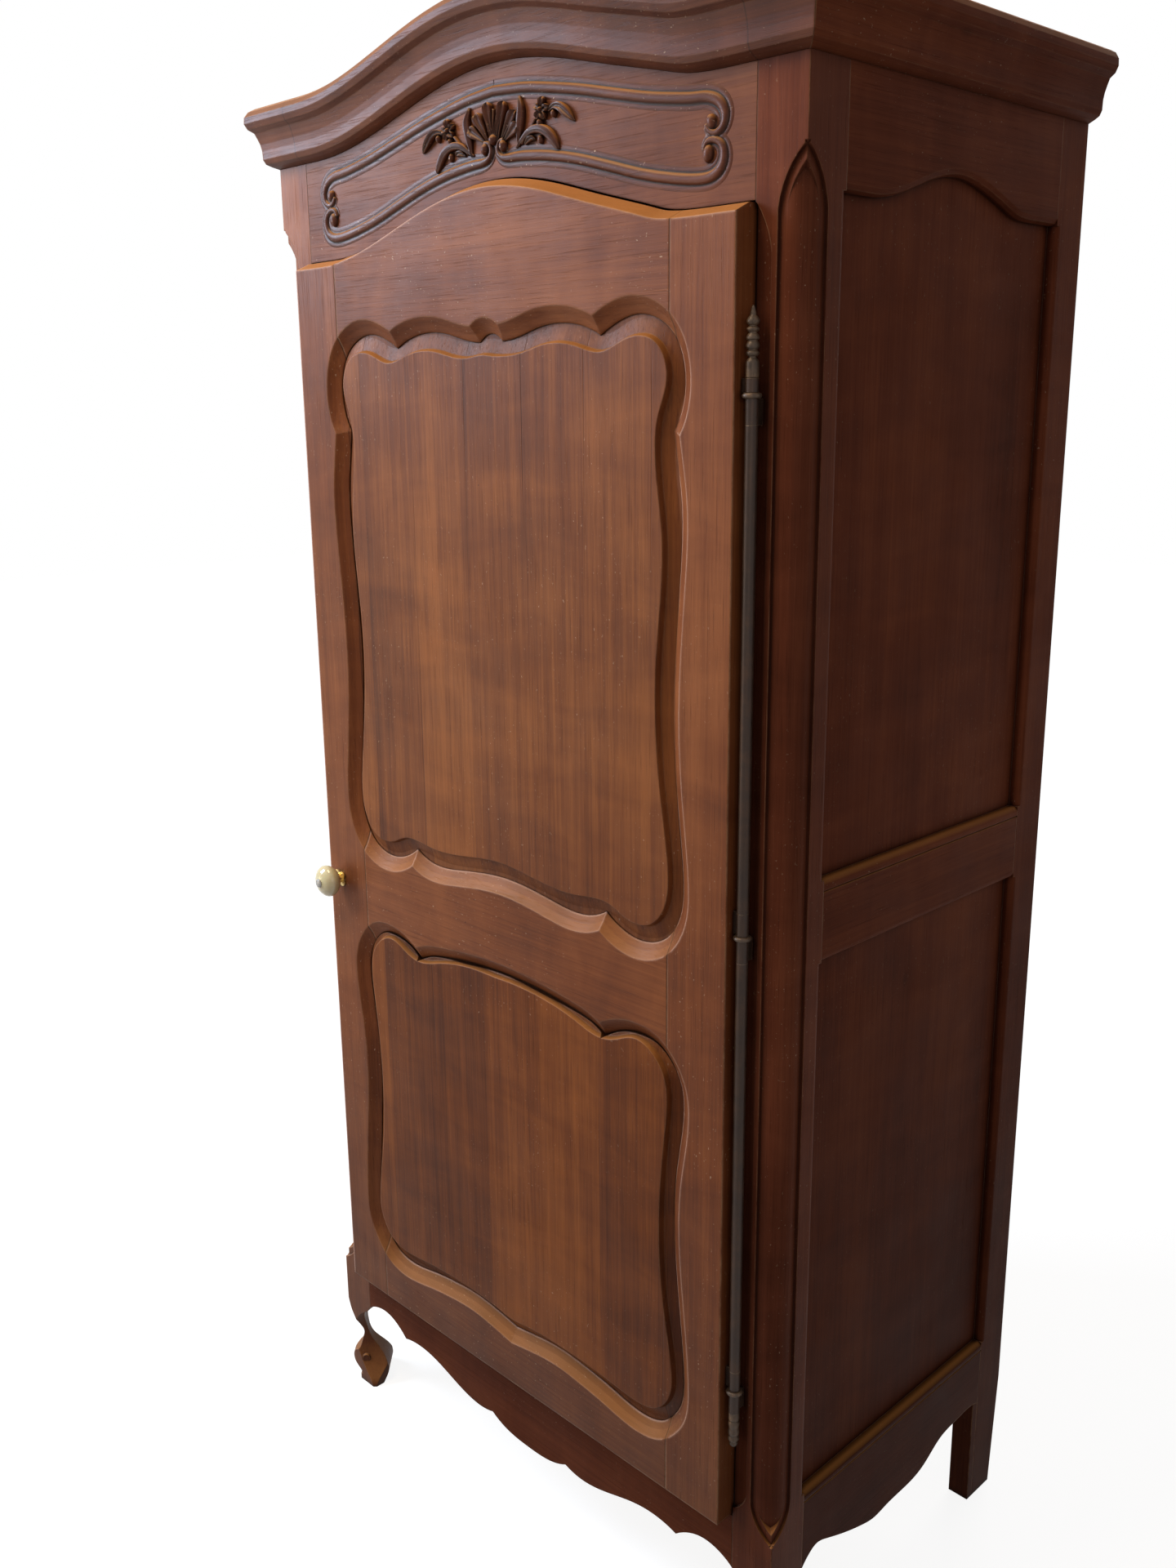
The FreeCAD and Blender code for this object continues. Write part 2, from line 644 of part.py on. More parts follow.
def latch_cam():
    """Flat cam on the spindle. It points up when the latch is off."""
    y = cam_y0
    w = cam_width / 2
    tip = knob_height + cam_length
    edges = [
        line(v(knob_x - w, y, knob_height), v(knob_x - w, y, tip - w)),
        arc(v(knob_x - w, y, tip - w), v(knob_x, y, tip), v(knob_x + w, y, tip - w)),
        line(v(knob_x + w, y, tip - w), v(knob_x + w, y, knob_height)),
        arc(v(knob_x + w, y, knob_height), v(knob_x, y, knob_height - w), v(knob_x - w, y, knob_height)),
    ]
    hole = Part.makeCylinder(spindle_radius + pin_clearance, cam_thickness + 2,
                             v(knob_x, y - 1, knob_height), v(0, 1, 0))
    return cut(extrude(edges, v(0, cam_thickness, 0)), hole)


def cam_nut():
    corners = [v(knob_x + nut_radius * math.cos(math.radians(60 * k)), cam_y1,
                 knob_height + nut_radius * math.sin(math.radians(60 * k))) for k in range(6)]
    nut = polygon(corners, v(0, nut_height, 0))
    hole = Part.makeCylinder(spindle_radius + pin_clearance, nut_height + 2,
                             v(knob_x, cam_y1 - 1, knob_height), v(0, 1, 0))
    return cut(nut, hole)


def knob_pieces():
    spindle = Part.makeCylinder(spindle_radius, cam_y1 + nut_height - knob_nose,
                                v(knob_x, knob_nose, knob_height), v(0, 1, 0))
    dome = ((0.7 * spindle_radius, knob_nose - nose_height), (1.3 * spindle_radius, knob_nose))
    return {
        "porcelain_knob": porcelain_knob(),
        "knob_nose_screw": about_y(dome, knob_x, knob_height),
        "knob_spindle": spindle,
        "latch_cam": latch_cam(),
        "cam_nut": cam_nut(),
        "knob_rosette": rosette(),
    }


def strike_slot_span():
    """Lowest and highest z of the space that the swinging cam needs in the left stile."""
    rise = math.sqrt(cam_length ** 2 - (opening_half + knob_x) ** 2)
    return knob_height - cam_width / 2 - 2 * strike_clearance, knob_height + rise + 4 * strike_clearance


def strike_slot():
    """That space, cut into the stile and through its strike plate."""
    depth = cam_length - (opening_half + knob_x) + 2 * strike_clearance
    z0, z1 = strike_slot_span()
    return box(-opening_half - depth, -opening_half + spare, cam_y0 - strike_clearance,
               cam_y1 + strike_clearance, z0, z1)


def strike_blank():
    z0, z1 = strike_slot_span()
    return box(-opening_half - strike_thickness, -opening_half,
               cam_y0 - strike_clearance - strike_front_border, cam_y1 + strike_clearance + strike_back_border,
               z0 - strike_border, z1 + strike_border)


# ---- Front stiles with scroll feet ----
diagonal = 1 / math.sqrt(2)


def on_diagonal(s, z, t=0.0):
    """Point at s inwards from the right front corner, z up and t across the diagonal."""
    return v(half - s * diagonal + t * diagonal, s * diagonal + t * diagonal, z)


# The foot, cut through the diagonal: insets as shares of its depth, heights as shares of the knee's height.
foot_outer = ((0.0, 1.0), (0.028, 0.948), (0.085, 0.86), (0.189, 0.77), (0.296, 0.675), (0.373, 0.591),
              (0.366, 0.539), (0.331, 0.487), (0.261, 0.396), (0.113, 0.325), (0.07, 0.247), (0.099, 0.188),
              (0.169, 0.149), (0.282, 0.107), (0.303, 0.071))
foot_pad = ((0.303, 0.071), (0.263, 0.06), (0.263, 0.0))
foot_inner = ((0.87, 0.0), (0.95, 0.071), (0.995, 0.143), (0.979, 0.208), (0.883, 0.316), (0.732, 0.409),
              (0.58, 0.5), (0.5, 0.584), (0.458, 0.669), (0.434, 0.74), (0.434, 0.831), (0.479, 0.922),
              (0.592, 0.994), (0.845, 1.052), (1.37, 1.09))
# Half of the same foot seen along the diagonal: shares of the ankle's half width and of the knee's height.
foot_side = ((4.9, 0.0), (4.4, 0.08), (3.3, 0.18), (2.3, 0.3), (1.6, 0.4), (1.06, 0.52), (0.94, 0.6),
             (1.1, 0.68), (1.7, 0.78), (2.9, 0.9), (5.0, 1.0), (10.4, 1.08))


def foot_profile(top):
    """The stile and its foot cut through the diagonal: a knee, a thin ankle and a scrolled toe."""
    outer, pad, inner = [[on_diagonal(s * foot_depth, z * knee_height) for s, z in part]
                         for part in (foot_outer, foot_pad, foot_inner)]
    wide = on_diagonal(2 * (stile_width + stile_depth), inner[-1].z)
    edges = [line(on_diagonal(0, top), outer[0]), spline(outer), line(*pad[:2]), line(*pad[1:]),
             line(pad[-1], inner[0]), spline(inner), line(inner[-1], wide)]
    edges.append(line(wide, v(wide.x, wide.y, top)))
    edges.append(line(v(wide.x, wide.y, top), on_diagonal(0, top)))
    across = v(diagonal, diagonal, 0) * (stile_width + stile_depth)
    shape = extrude(edges, across * 2)
    shape.translate(-across)
    return shape


def foot_front_shape(top):
    """The same foot seen along the diagonal: thin at the ankle, as wide as the post at knee and toe."""
    start = -(stile_width + stile_depth)
    right, left = [[on_diagonal(start, z * knee_height, t * side * foot_half_width) for t, z in foot_side]
                   for side in (1, -1)]
    right_top = v(right[-1].x, right[-1].y, top)
    left_top = v(left[-1].x, left[-1].y, top)
    edges = [spline(right), line(right[-1], right_top), line(right_top, left_top), line(left_top, left[-1]),
             spline(left[::-1]), line(left[0], right[0])]
    return extrude(edges, v(-diagonal, diagonal, 0) * (-3 * start))


def corner_cutter():
    """What is taken off the outer corner: a flat sunk into each face, and a round shaft between them."""
    r = corner_reach
    d = corner_flat_depth
    front_flat = box(half - r, half + spare, -spare, d, corner_foot, corner_tip)
    side_flat = box(half - d, half + spare, -spare, r, corner_foot, corner_tip)
    flats_tool = fuse(front_flat.common(pointed_front(r, 0)), side_flat.common(pointed_side(r, 0)))
    shaft = r - corner_flat - d
    x0 = half - d - shaft
    y1 = d + shaft
    foot = corner_foot
    edges = [
        arc(v(x0, d, foot), v(x0 + shaft * diagonal, y1 - shaft * diagonal, foot), v(half - d, y1, foot)),
        line(v(half - d, y1, foot), v(half + spare, y1, foot)),
        line(v(half + spare, y1, foot), v(half + spare, -spare, foot)),
        line(v(half + spare, -spare, foot), v(x0, -spare, foot)),
        line(v(x0, -spare, foot), v(x0, d, foot)),
    ]
    round_tool = extrude(edges, v(0, 0, corner_tip - corner_foot))
    reach = r - corner_flat
    round_tool = round_tool.common(pointed_front(reach, corner_shaft_inset))
    return [flats_tool, round_tool.common(pointed_side(reach, corner_shaft_inset))]


def pointed_front(reach, inset):
    return pointed(reach, inset, lambda a, z: v(half - a, -2 * spare, z), v(0, reach + 4 * spare, 0))


def pointed_side(reach, inset):
    return pointed(reach, inset, lambda a, z: v(half - reach - 2 * spare, a, z), v(reach + 4 * spare, 0, 0))


def pointed(reach, inset, place, direction):
    """Prism of a tall outline that ends in a Gothic point at the corner above and below."""
    r = reach + spare / 2
    tip = corner_tip - inset
    foot = corner_foot + inset
    shoulder = corner_tip - corner_point_top
    heel = corner_foot + corner_point_foot
    edges = [
        line(place(-2 * spare, foot), place(-2 * spare, tip)),
        line(place(-2 * spare, tip), place(0, tip)),
        arc(place(0, tip), place(0.74 * r, shoulder + 0.6 * (tip - shoulder)), place(r, shoulder)),
        line(place(r, shoulder), place(r, heel)),
        arc(place(r, heel), place(0.74 * r, heel - 0.6 * (heel - foot)), place(0, foot)),
        line(place(0, foot), place(-2 * spare, foot)),
    ]
    return extrude(edges, direction)


def chamfer_cutter():
    """Hollow along the stile's inner edge, where the hinge column lies, with curved stops."""
    x0 = opening_half - spare
    w = hinge_chamfer_width
    d = hinge_chamfer_depth
    y = -2 * spare
    top = door_top
    foot = door_bottom + chamfer_foot_rise
    x1 = opening_half + w
    wedge_edges = [
        line(v(x0, y, foot), v(x0, d, foot)),
        arc(v(x0, d, foot), v(opening_half + 0.55 * w, 0.75 * d, foot), v(x1, 0, foot)),
        line(v(x1, 0, foot), v(x1, y, foot)),
        line(v(x1, y, foot), v(x0, y, foot)),
    ]
    wedge = extrude(wedge_edges, v(0, 0, top - foot))
    shoulder = top - chamfer_tongue
    heel = foot + 0.5 * chamfer_tongue
    near = opening_half + spare
    far = x1 + spare
    stop = [
        line(v(x0, y, foot), v(x0, y, top)),
        line(v(x0, y, top), v(near, y, top)),
        arc(v(near, y, top), v(opening_half + 0.8 * w, y, shoulder + 0.56 * chamfer_tongue),
            v(far, y, shoulder)),
        line(v(far, y, shoulder), v(far, y, heel)),
        arc(v(far, y, heel), v(opening_half + 0.7 * w, y, foot + 0.2 * chamfer_tongue), v(near, y, foot)),
        line(v(near, y, foot), v(x0, y, foot)),
    ]
    return wedge.common(extrude(stop, v(0, d - 2 * y, 0)))


def quarter_round_cutter(x_face, y_edge, toward, z0, z1):
    """Rounds the vertical arris where the outer face x_face meets the edge y_edge."""
    r = ovolo
    block = box(x_face - r, x_face + 1, min(y_edge, y_edge - toward * r), max(y_edge, y_edge - toward * r),
                z0, z1)
    return cut(block, cylinder(r, x_face - r, y_edge - toward * r, z0, z1))


def panel_groove_x():
    """Side panel's inner and outer faces."""
    outer = half - side_recess
    return outer - panel_thickness, outer


def front_stile():
    """Right front stile with its foot."""
    top = rail_top + spare
    post = box(opening_half, half, 0, stile_depth, 0, rail_top)
    stile = post.common(foot_profile(top)).common(foot_front_shape(top))
    eye = on_diagonal(foot_eye_inset, foot_eye_height, -foot_eye_half)
    stile = fuse(stile, Part.makeCylinder(foot_eye_radius, 2 * foot_eye_half, eye, v(diagonal, diagonal, 0)))
    stile = cut(stile, front_arch_cutter(), side_arch_cutter(), chamfer_cutter(), *corner_cutter())
    x0, x1 = panel_groove_x()
    stile = cut(stile, box(x0, x1, side_y0 - panel_tongue, side_y0 + 1, side_bottom_top - panel_tongue,
                           side_rail_top_ends + side_arch_rise + panel_tongue))
    for z0, z1 in ((side_bottom_top, side_mid_bottom), (side_mid_bottom + side_mid_height,
                                                        side_rail_top_ends)):
        stile = cut(stile, quarter_round_cutter(half, side_y0, 1, z0, z1))
    for tenon in frieze_tenons() + apron_tenons():
        stile = cut(stile, tenon)
    return stile


# The end arches of the aprons run on into the front stiles, down and inwards: shares of the run-in's sizes.
run_in = ((0.0, 0.0), (0.56, 0.31), (0.88, 0.66), (1.0, 1.0))


def run_in_cutter(place, start, direction):
    """What an apron's end arch takes off the front stile. place(inwards, z) gives a point of its outline."""
    points = [place(inwards * arch_run_in, start - down * arch_run_drop) for inwards, down in run_in]
    foot = start - arch_run_drop
    edges = [spline(points)]
    edges.append(line(points[-1], place(-arch_run_in, foot)))
    edges.append(line(place(-arch_run_in, foot), place(-arch_run_in, start)))
    edges.append(line(place(-arch_run_in, start), points[0]))
    return extrude(edges, direction)


def front_arch_cutter():
    start = apron_point(1, *apron_end[-1]).z
    return run_in_cutter(lambda inwards, z: v(opening_half + inwards, -spare, z), start,
                         v(0, stile_depth + 2 * spare, 0))


def side_arch_cutter():
    start = side_apron_point(*side_apron_edge[0]).z
    return run_in_cutter(lambda inwards, z: v(half + spare, side_y0 - inwards, z), start,
                         v(-stile_width - 2 * spare, 0, 0))


def frame_tenons(z0, z1):
    """Pair of tenons that a front rail sets into the front stiles."""
    right = box(opening_half, opening_half + frame_tenon_length, frame_tenon_inset,
                frame_tenon_inset + frame_tenon_thickness, z0, z1)
    return [right, mirror_x(right)]


def frieze_tenons():
    height = rail_top - door_top
    return frame_tenons(door_top + 0.24 * height, rail_top - 0.19 * height)


def apron_tenons():
    z1 = door_bottom - frame_tenon_shoulder
    return frame_tenons(z1 - 0.36 * apron_drop, z1)


def frieze_rail():
    """Arched rail over the door. Its top runs parallel to the cornice."""
    bottom = door_top + door_gap
    peak = rail_top + cornice_rise + spare
    low = arch_region(bottom, peak, opening_half, door_arch_half, door_rise, 0, frame_thickness)
    high = arch_region(rail_top, peak + spare, half, cornice_arch_half, cornice_rise, -spare,
                       frame_thickness + spare)
    return fuse(cut(low, high), *frieze_tenons())


# The aprons' lower edges: places are shares of the opening's half width, or of the side's length from the
# front, and heights are shares of the apron's drop or rise over its lowest point.
apron_centre = ((-0.205, 0.131), (-0.116, 0.026), (0.0, 0.0), (0.116, 0.026), (0.205, 0.131))
apron_lobe = ((0.205, 0.131), (0.324, 0.097), (0.453, 0.195), (0.581, 0.303), (0.661, 0.322),
              (0.753, 0.277))
apron_end = ((0.753, 0.277), (0.792, 0.371), (0.872, 0.468), (0.954, 0.438), (1.0, 0.363))
side_apron_edge = ((0.0, 0.565), (0.036, 0.87), (0.065, 1.0), (0.127, 0.848), (0.319, 0.13), (0.384, 0.0),
                   (0.449, 0.054), (0.663, 0.261), (0.763, 0.76), (0.871, 0.9), (0.958, 0.93), (1.0, 0.83))


def apron_point(side, place, height):
    return v(side * place * opening_half, 0, door_bottom - apron_drop * (1 - height))


def side_apron_point(place, height):
    return v(inner_x, side_y0 + place * (side_y1 - side_y0), side_apron_lowest + height * side_apron_rise)


def front_apron():
    """Scalloped apron: five lobes between the end arches."""
    top = door_bottom - door_gap

    def edge(run, side):
        points = [apron_point(side, place, height) for place, height in run]
        return spline(points if side > 0 else points[::-1])

    edges = [edge(apron_end, -1), edge(apron_lobe, -1), edge(apron_centre, 1), edge(apron_lobe, 1),
             edge(apron_end, 1)]
    right_end = apron_point(1, *apron_end[-1])
    left_end = apron_point(-1, *apron_end[-1])
    edges.append(line(right_end, v(opening_half, 0, top)))
    edges.append(line(v(opening_half, 0, top), v(-opening_half, 0, top)))
    edges.append(line(v(-opening_half, 0, top), left_end))
    return fuse(extrude(edges, v(0, apron_thickness, 0)), *apron_tenons())


# ---- Sides ----
def side_arch_edges(level, y0, y1, x, rise):
    """Arched line from the front to the back of a side, flat at its ends."""
    middle = (side_y0 + side_y1) / 2
    steps = 3
    ys = [middle + side_arch_half * k / steps for k in range(-steps, steps + 1)]
    points = [v(x, y, level + arch(y - middle, side_arch_half, rise)) for y in ys]
    curve = Part.BSplineCurve()
    curve.interpolate(Points=points, InitialTangent=v(0, 1, 0), FinalTangent=v(0, 1, 0))
    return [line(v(x, y0, level), points[0]), curve.toShape(), line(points[-1], v(x, y1, level))]


def side_arched_slab(level, top, y0, y1, x0, x1):
    """Slab between x0 and x1 over the arched line."""
    edges = side_arch_edges(level, y0, y1, x0, side_arch_rise)
    edges.append(line(v(x0, y1, level), v(x0, y1, top)))
    edges.append(line(v(x0, y1, top), v(x0, y0, top)))
    edges.append(line(v(x0, y0, top), v(x0, y0, level)))
    return extrude(edges, v(x1 - x0, 0, 0))


def round_rail_edge(rail, level):
    """Rounds the outer long edge of a side rail that lies at a level."""
    chosen = []
    for edge in rail.Edges:
        b = edge.BoundBox
        if b.XMin > half - 0.01 and b.YLength > ovolo and abs(b.ZMin - level) + abs(b.ZMax - level) < 0.01:
            chosen.append(edge)
    return rail.makeFillet(ovolo, chosen)


def rail_quirk_cutter(top):
    """Small groove along the outer face of a side rail, below its upper edge."""
    z = top - rail_quirk_inset
    w = rail_quirk_width / 2
    y = side_y0 - spare
    return polygon([v(half + spare, y, z - w), v(half, y, z - w), v(half - rail_quirk_depth, y, z),
                    v(half, y, z + w), v(half + spare, y, z + w)], v(0, side_y1 - side_y0 + 2 * spare, 0))


def arched_ovolo_cutter():
    """Rounds the arched lower edge of a side's top rail, in two flats."""
    middle = ovolo * (1 - diagonal)
    slope = middle / (ovolo - middle)
    wires = []
    for out, up in ((-ovolo - spare, -spare * slope), (-middle, middle), (spare * slope, ovolo + spare)):
        low = side_rail_top_ends - ovolo - spare
        edges = side_arch_edges(side_rail_top_ends + up, side_y0 - spare, side_y1 + spare, half + out,
                                side_arch_rise)
        front, back = edges[0].Vertexes[0].Point, edges[-1].Vertexes[-1].Point
        edges.append(line(back, v(back.x, back.y, low)))
        edges.append(line(v(back.x, back.y, low), v(front.x, front.y, low)))
        edges.append(line(v(front.x, front.y, low), front))
        wires.append(Part.Wire(edges))
    return Part.makeLoft(wires, True, True)


def groove_slot(z0, z1):
    x0, x1 = panel_groove_x()
    return box(x0, x1, side_y0 - 1, side_y1 + 1, z0, z1)


def side_pieces():
    """Right side: three rails and two panels."""
    x0, x1 = panel_groove_x()
    top_rail = side_arched_slab(side_rail_top_ends, rail_top, side_y0, side_y1, inner_x, half)
    top_rail = cut(top_rail, arched_ovolo_cutter())
    above = side_arched_slab(side_rail_top_ends + panel_tongue, rail_top, side_y0 - 1, side_y1 + 1, x0, x1)
    band = box(x0, x1, side_y0 - 1, side_y1 + 1, side_rail_top_ends - 1, rail_top)
    top_rail = cut(top_rail, cut(band, above))
    mid_top = side_mid_bottom + side_mid_height
    mid_rail = box(inner_x, half, side_y0, side_y1, side_mid_bottom, mid_top)
    mid_rail = round_rail_edge(mid_rail, mid_top)
    mid_rail = round_rail_edge(mid_rail, side_mid_bottom)
    mid_rail = cut(mid_rail, groove_slot(side_mid_bottom - 1, side_mid_bottom + panel_tongue),
                   groove_slot(mid_top - panel_tongue, mid_top + 1), rail_quirk_cutter(mid_top))
    peak = side_rail_top_ends + side_arch_rise + panel_tongue
    upper = cut(box(x0, x1, side_y0 - panel_tongue, side_y1 + panel_tongue, mid_top - panel_tongue, peak + 1),
                side_arched_slab(side_rail_top_ends + panel_tongue, peak + 2, side_y0 - 2 * panel_tongue,
                                 side_y1 + 2 * panel_tongue, x0 - 1, x1 + 1))
    lower = box(x0, x1, side_y0 - panel_tongue, side_y1 + panel_tongue, side_bottom_top - panel_tongue,
                side_mid_bottom + panel_tongue)
    return {
        "side_top_rail": top_rail,
        "side_middle_rail": mid_rail,
        "side_apron": side_apron(),
        "side_upper_panel": upper,
        "side_lower_panel": lower,
    }


def side_apron():
    """Bottom rail of a side, scalloped below, with a rounded upper edge."""
    x = inner_x
    points = [side_apron_point(place, height) for place, height in side_apron_edge]
    edges = [spline(points)]
    edges.append(line(points[-1], v(x, side_y1, side_bottom_top)))
    edges.append(line(v(x, side_y1, side_bottom_top), v(x, side_y0, side_bottom_top)))
    edges.append(line(v(x, side_y0, side_bottom_top), points[0]))
    rail = extrude(edges, v(frame_thickness, 0, 0))
    rail = round_rail_edge(rail, side_bottom_top)
    return cut(rail, groove_slot(side_bottom_top - panel_tongue, side_bottom_top + 1),
               rail_quirk_cutter(side_bottom_top))


def rear_bracket():
    """Block that widens the rear foot forwards, under the side apron's last arch."""
    top = side_apron_lowest + side_apron_rise
    return cut(box(half - rear_foot_width, half, side_y1 - bracket_depth, side_y1, 0, top), side_apron())


def rear_foot_cutter():
    """What is taken off the rear stile under the apron: its inner side and its raked back face."""
    top = side_apron_lowest + side_apron_rise
    inside = polygon([v(back_x - 1, side_y1 - 1, -1), v(half - rear_foot_width, side_y1 - 1, -1),
                      v(half - rear_foot_width, side_y1 - 1, top - rear_stile_width + rear_foot_width),
                      v(back_x - 1, side_y1 - 1, top)], v(0, rear_stile_depth + 2, 0))
    back = polygon([v(back_x - 1, body_depth + 1, rake_height), v(back_x - 1, body_depth, rake_height),
                    v(back_x - 1, body_depth - rear_foot_rake, 0), v(back_x - 1, body_depth - rear_foot_rake, -1),
                    v(back_x - 1, body_depth + 1, -1)], v(rear_stile_width + 2, 0, 0))
    return fuse(inside, back)


def rear_stile():
    x0, x1 = panel_groove_x()
    stile = box(back_x, half, side_y1, body_depth, 0, rail_top)
    stile = cut(stile, box(x0, x1, side_y1 - 1, side_y1 + panel_tongue, side_bottom_top - panel_tongue,
                           side_rail_top_ends + side_arch_rise + panel_tongue), rear_foot_cutter())
    for z0, z1 in ((side_bottom_top, side_mid_bottom), (side_mid_bottom + side_mid_height,
                                                        side_rail_top_ends)):
        stile = cut(stile, quarter_round_cutter(half, side_y1, -1, z0, z1))
    y0, y1 = back_panel_y()
    return cut(stile, box(back_x - 1, back_x + panel_tongue, y0, y1,
                          back_bottom_bottom + back_bottom_height - panel_tongue,
                          back_top_bottom + panel_tongue))


# ---- Back ----
def back_panel_y():
    middle = (back_y0 + back_y1) / 2
    return middle - panel_thickness / 2, middle + panel_thickness / 2


def back_slot(z0, z1):
    y0, y1 = back_panel_y()
    return box(-back_x - 1, back_x + 1, y0, y1, z0, z1)


def back_pieces():
    y0, y1 = back_panel_y()
    t = panel_tongue
    bottom_top = back_bottom_bottom + back_bottom_height
    mid_top = back_mid_bottom + back_mid_height
    top = box(-back_x, back_x, back_y0, back_y1, back_top_bottom, rail_top)
    middle = box(-back_x, back_x, back_y0, back_y1, back_mid_bottom, mid_top)
    bottom = box(-back_x, back_x, back_y0, back_y1, back_bottom_bottom, bottom_top)
    return {
        "back_top_rail": cut(top, back_slot(back_top_bottom - 1, back_top_bottom + t)),
        "back_middle_rail": cut(middle, back_slot(back_mid_bottom - 1, back_mid_bottom + t),
                                back_slot(mid_top - t, mid_top + 1)),
        "back_bottom_rail": cut(bottom, back_slot(bottom_top - t, bottom_top + 1)),
        "back_upper_panel": box(-back_x - t, back_x + t, y0, y1, mid_top - t, back_top_bottom + t),
        "back_lower_panel": box(-back_x - t, back_x + t, y0, y1, bottom_top - t, back_mid_bottom + t),
    }


# ---- Boards inside ----
def inner_board(y0, y1, z0, z1):
    """Board across the inside, notched round the stiles."""
    c = board_clearance
    shape = box(-inner_x + c, inner_x - c, y0, y1, z0, z1)
    front = box(opening_half - c, half, -1, stile_depth + c, z0 - 1, z1 + 1)
    rear = box(back_x - c, half, side_y1 - c, body_depth, z0 - 1, z1 + 1)
    return cut(shape, front, mirror_x(front), rear, mirror_x(rear))


def bearers(top):
    """Pair of bearers between the stiles, under a board."""
    right = box(inner_x - bearer_width, inner_x, side_y0, side_y1, top - bearer_height, top)
    return [right, mirror_x(right)]


def inside_pieces():
    floor_bottom = floor_top - floor_thickness
    pieces = {
        "floor_board": inner_board(apron_thickness, back_y0, floor_bottom, floor_top),
        "floor_bearers": Part.makeCompound(bearers(floor_bottom)),
        "top_board": inner_board(frame_thickness, back_y0, top_board_bottom,
                                 top_board_bottom + top_board_thickness),
        "top_bearers": Part.makeCompound(bearers(top_board_bottom)),
    }
    cleats = []
    for name, z in zip(("lower_shelf", "middle_shelf", "upper_shelf"), shelf_levels):
        pieces[name] = inner_board(stile_depth + board_clearance, back_y0 - board_clearance, z,
                                   z + shelf_thickness)
        cleats += bearers(z)
    pieces["shelf_cleats"] = Part.makeCompound(cleats)
    return pieces


# ---- Cornice ----
def cornice_profile(place):
    """The cornice's section: a small bevel, an ovolo, a cove, a fillet and a bold roll.

    place(out, up) gives a point from the overhang and the height.
    """
    def at(out, up):
        return place(out * cornice_overhang, up * cornice_height)

    bevel = [line(at(0, 0), at(0.23, 0.046))]
    small_ovolo = flats(at(0.23, 0.046), at(0.41, 0.094), at(0.49, 0.17), 2)
    quirk = [line(at(0.49, 0.17), at(0.49, 0.21))]
    cove = flats(at(0.49, 0.21), at(0.52, 0.37), at(0.62, 0.51), 3)
    fillet = [line(at(0.62, 0.51), at(0.7, 0.6))]
    roll = flats(at(0.7, 0.6), at(1.0, 0.8), at(0.64, 1.0), 5)
    back = -frame_thickness
    seat = [
        line(at(0.64, 1.0), place(back, cornice_height)),
        line(place(back, cornice_height), place(back, cornice_rebate)),
        line(place(back, cornice_rebate), place(0, cornice_rebate)),
        line(place(0, cornice_rebate), at(0, 0)),
    ]
    return Part.Wire(bevel + small_ovolo + quirk + cove + fillet + roll + seat)


def cornice_front():
    """Arched front length. Every upright section of it is the same."""
    reach = half + 2 * cornice_overhang
    path = Part.Wire(arch_edges(cornice_bottom, reach, cornice_arch_half, cornice_rise, 0))
    profile = cornice_profile(lambda out, up: v(-reach, -out, cornice_bottom + up))
    sweep = Part.BRepOffsetAPI.MakePipeShell(path)
    sweep.setTrihedronMode(v(0, 0, 0), v(1, 0, 0))
    sweep.add(profile)
    sweep.build()
    sweep.makeSolid()
    front = sweep.shape()
    margin = 2 * cornice_overhang
    inner = frame_thickness + spare
    low = cornice_bottom - spare
    keep = polygon([v(-half - margin, -margin, low), v(half + margin, -margin, low),
                    v(half - inner, inner, low), v(-half + inner, inner, low)],
                   v(0, 0, cornice_height + cornice_rise + 2 * spare))
    return front.common(keep)


def cornice_side():
    """Right side length, mitred to the front one."""
    margin = 2 * cornice_overhang
    inner = frame_thickness + spare
    profile = cornice_profile(lambda out, up: v(half + out, -margin, cornice_bottom + up))
    side = Part.Face(profile).extrude(v(0, body_depth + margin, 0))
    low = cornice_bottom - spare
    keep = polygon([v(half + margin, -margin, low), v(half - inner, inner, low),
                    v(half - inner, body_depth, low), v(half + margin, body_depth, low)],
                   v(0, 0, cornice_height + 2 * spare))
    return side.common(keep)


# ---- All pieces ----
def all_pieces():
    pieces = {}
    right_stile = front_stile()
    left_stile = cut(mirror_x(right_stile), strike_blank(), strike_slot())
    for level in ring_levels:
        z0, z1 = frame_knuckle_span(level)
        right_stile = cut(right_stile, frame_leaf_plate(z0, z1))
    pieces["right_front_stile"] = right_stile
    pieces["left_front_stile"] = left_stile
    pieces["latch_strike"] = cut(strike_blank(), strike_slot())
    pieces["frieze_rail"] = frieze_rail()
    pieces["front_apron"] = front_apron()
    paired = side_pieces()
    paired["rear_stile"] = rear_stile()
    paired["rear_foot_bracket"] = rear_bracket()
    paired["cornice_side"] = cornice_side()
    for name, shape in paired.items():
        pieces["right_" + name] = shape
        pieces["left_" + name] = mirror_x(shape)
    pieces["cornice_front"] = cornice_front()
    pieces.update(back_pieces())
    pieces.update(inside_pieces())
    pieces.update(door_pieces())
    pieces.update(hinge_pieces())
    pieces.update(knob_pieces())
    return pieces


os.makedirs("parts", exist_ok=True)
for node, solid in all_pieces().items():
    moved = solid.copy()
    moved.translate(v(0, -y_middle, 0))
    moved.exportStep("parts/" + node + ".step")
    print(node, len(moved.Solids), moved.isValid(), round(moved.Volume / 1000, 1), "cm3")
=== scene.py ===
import math

import bmesh
import bpy
from mathutils import Matrix, Vector

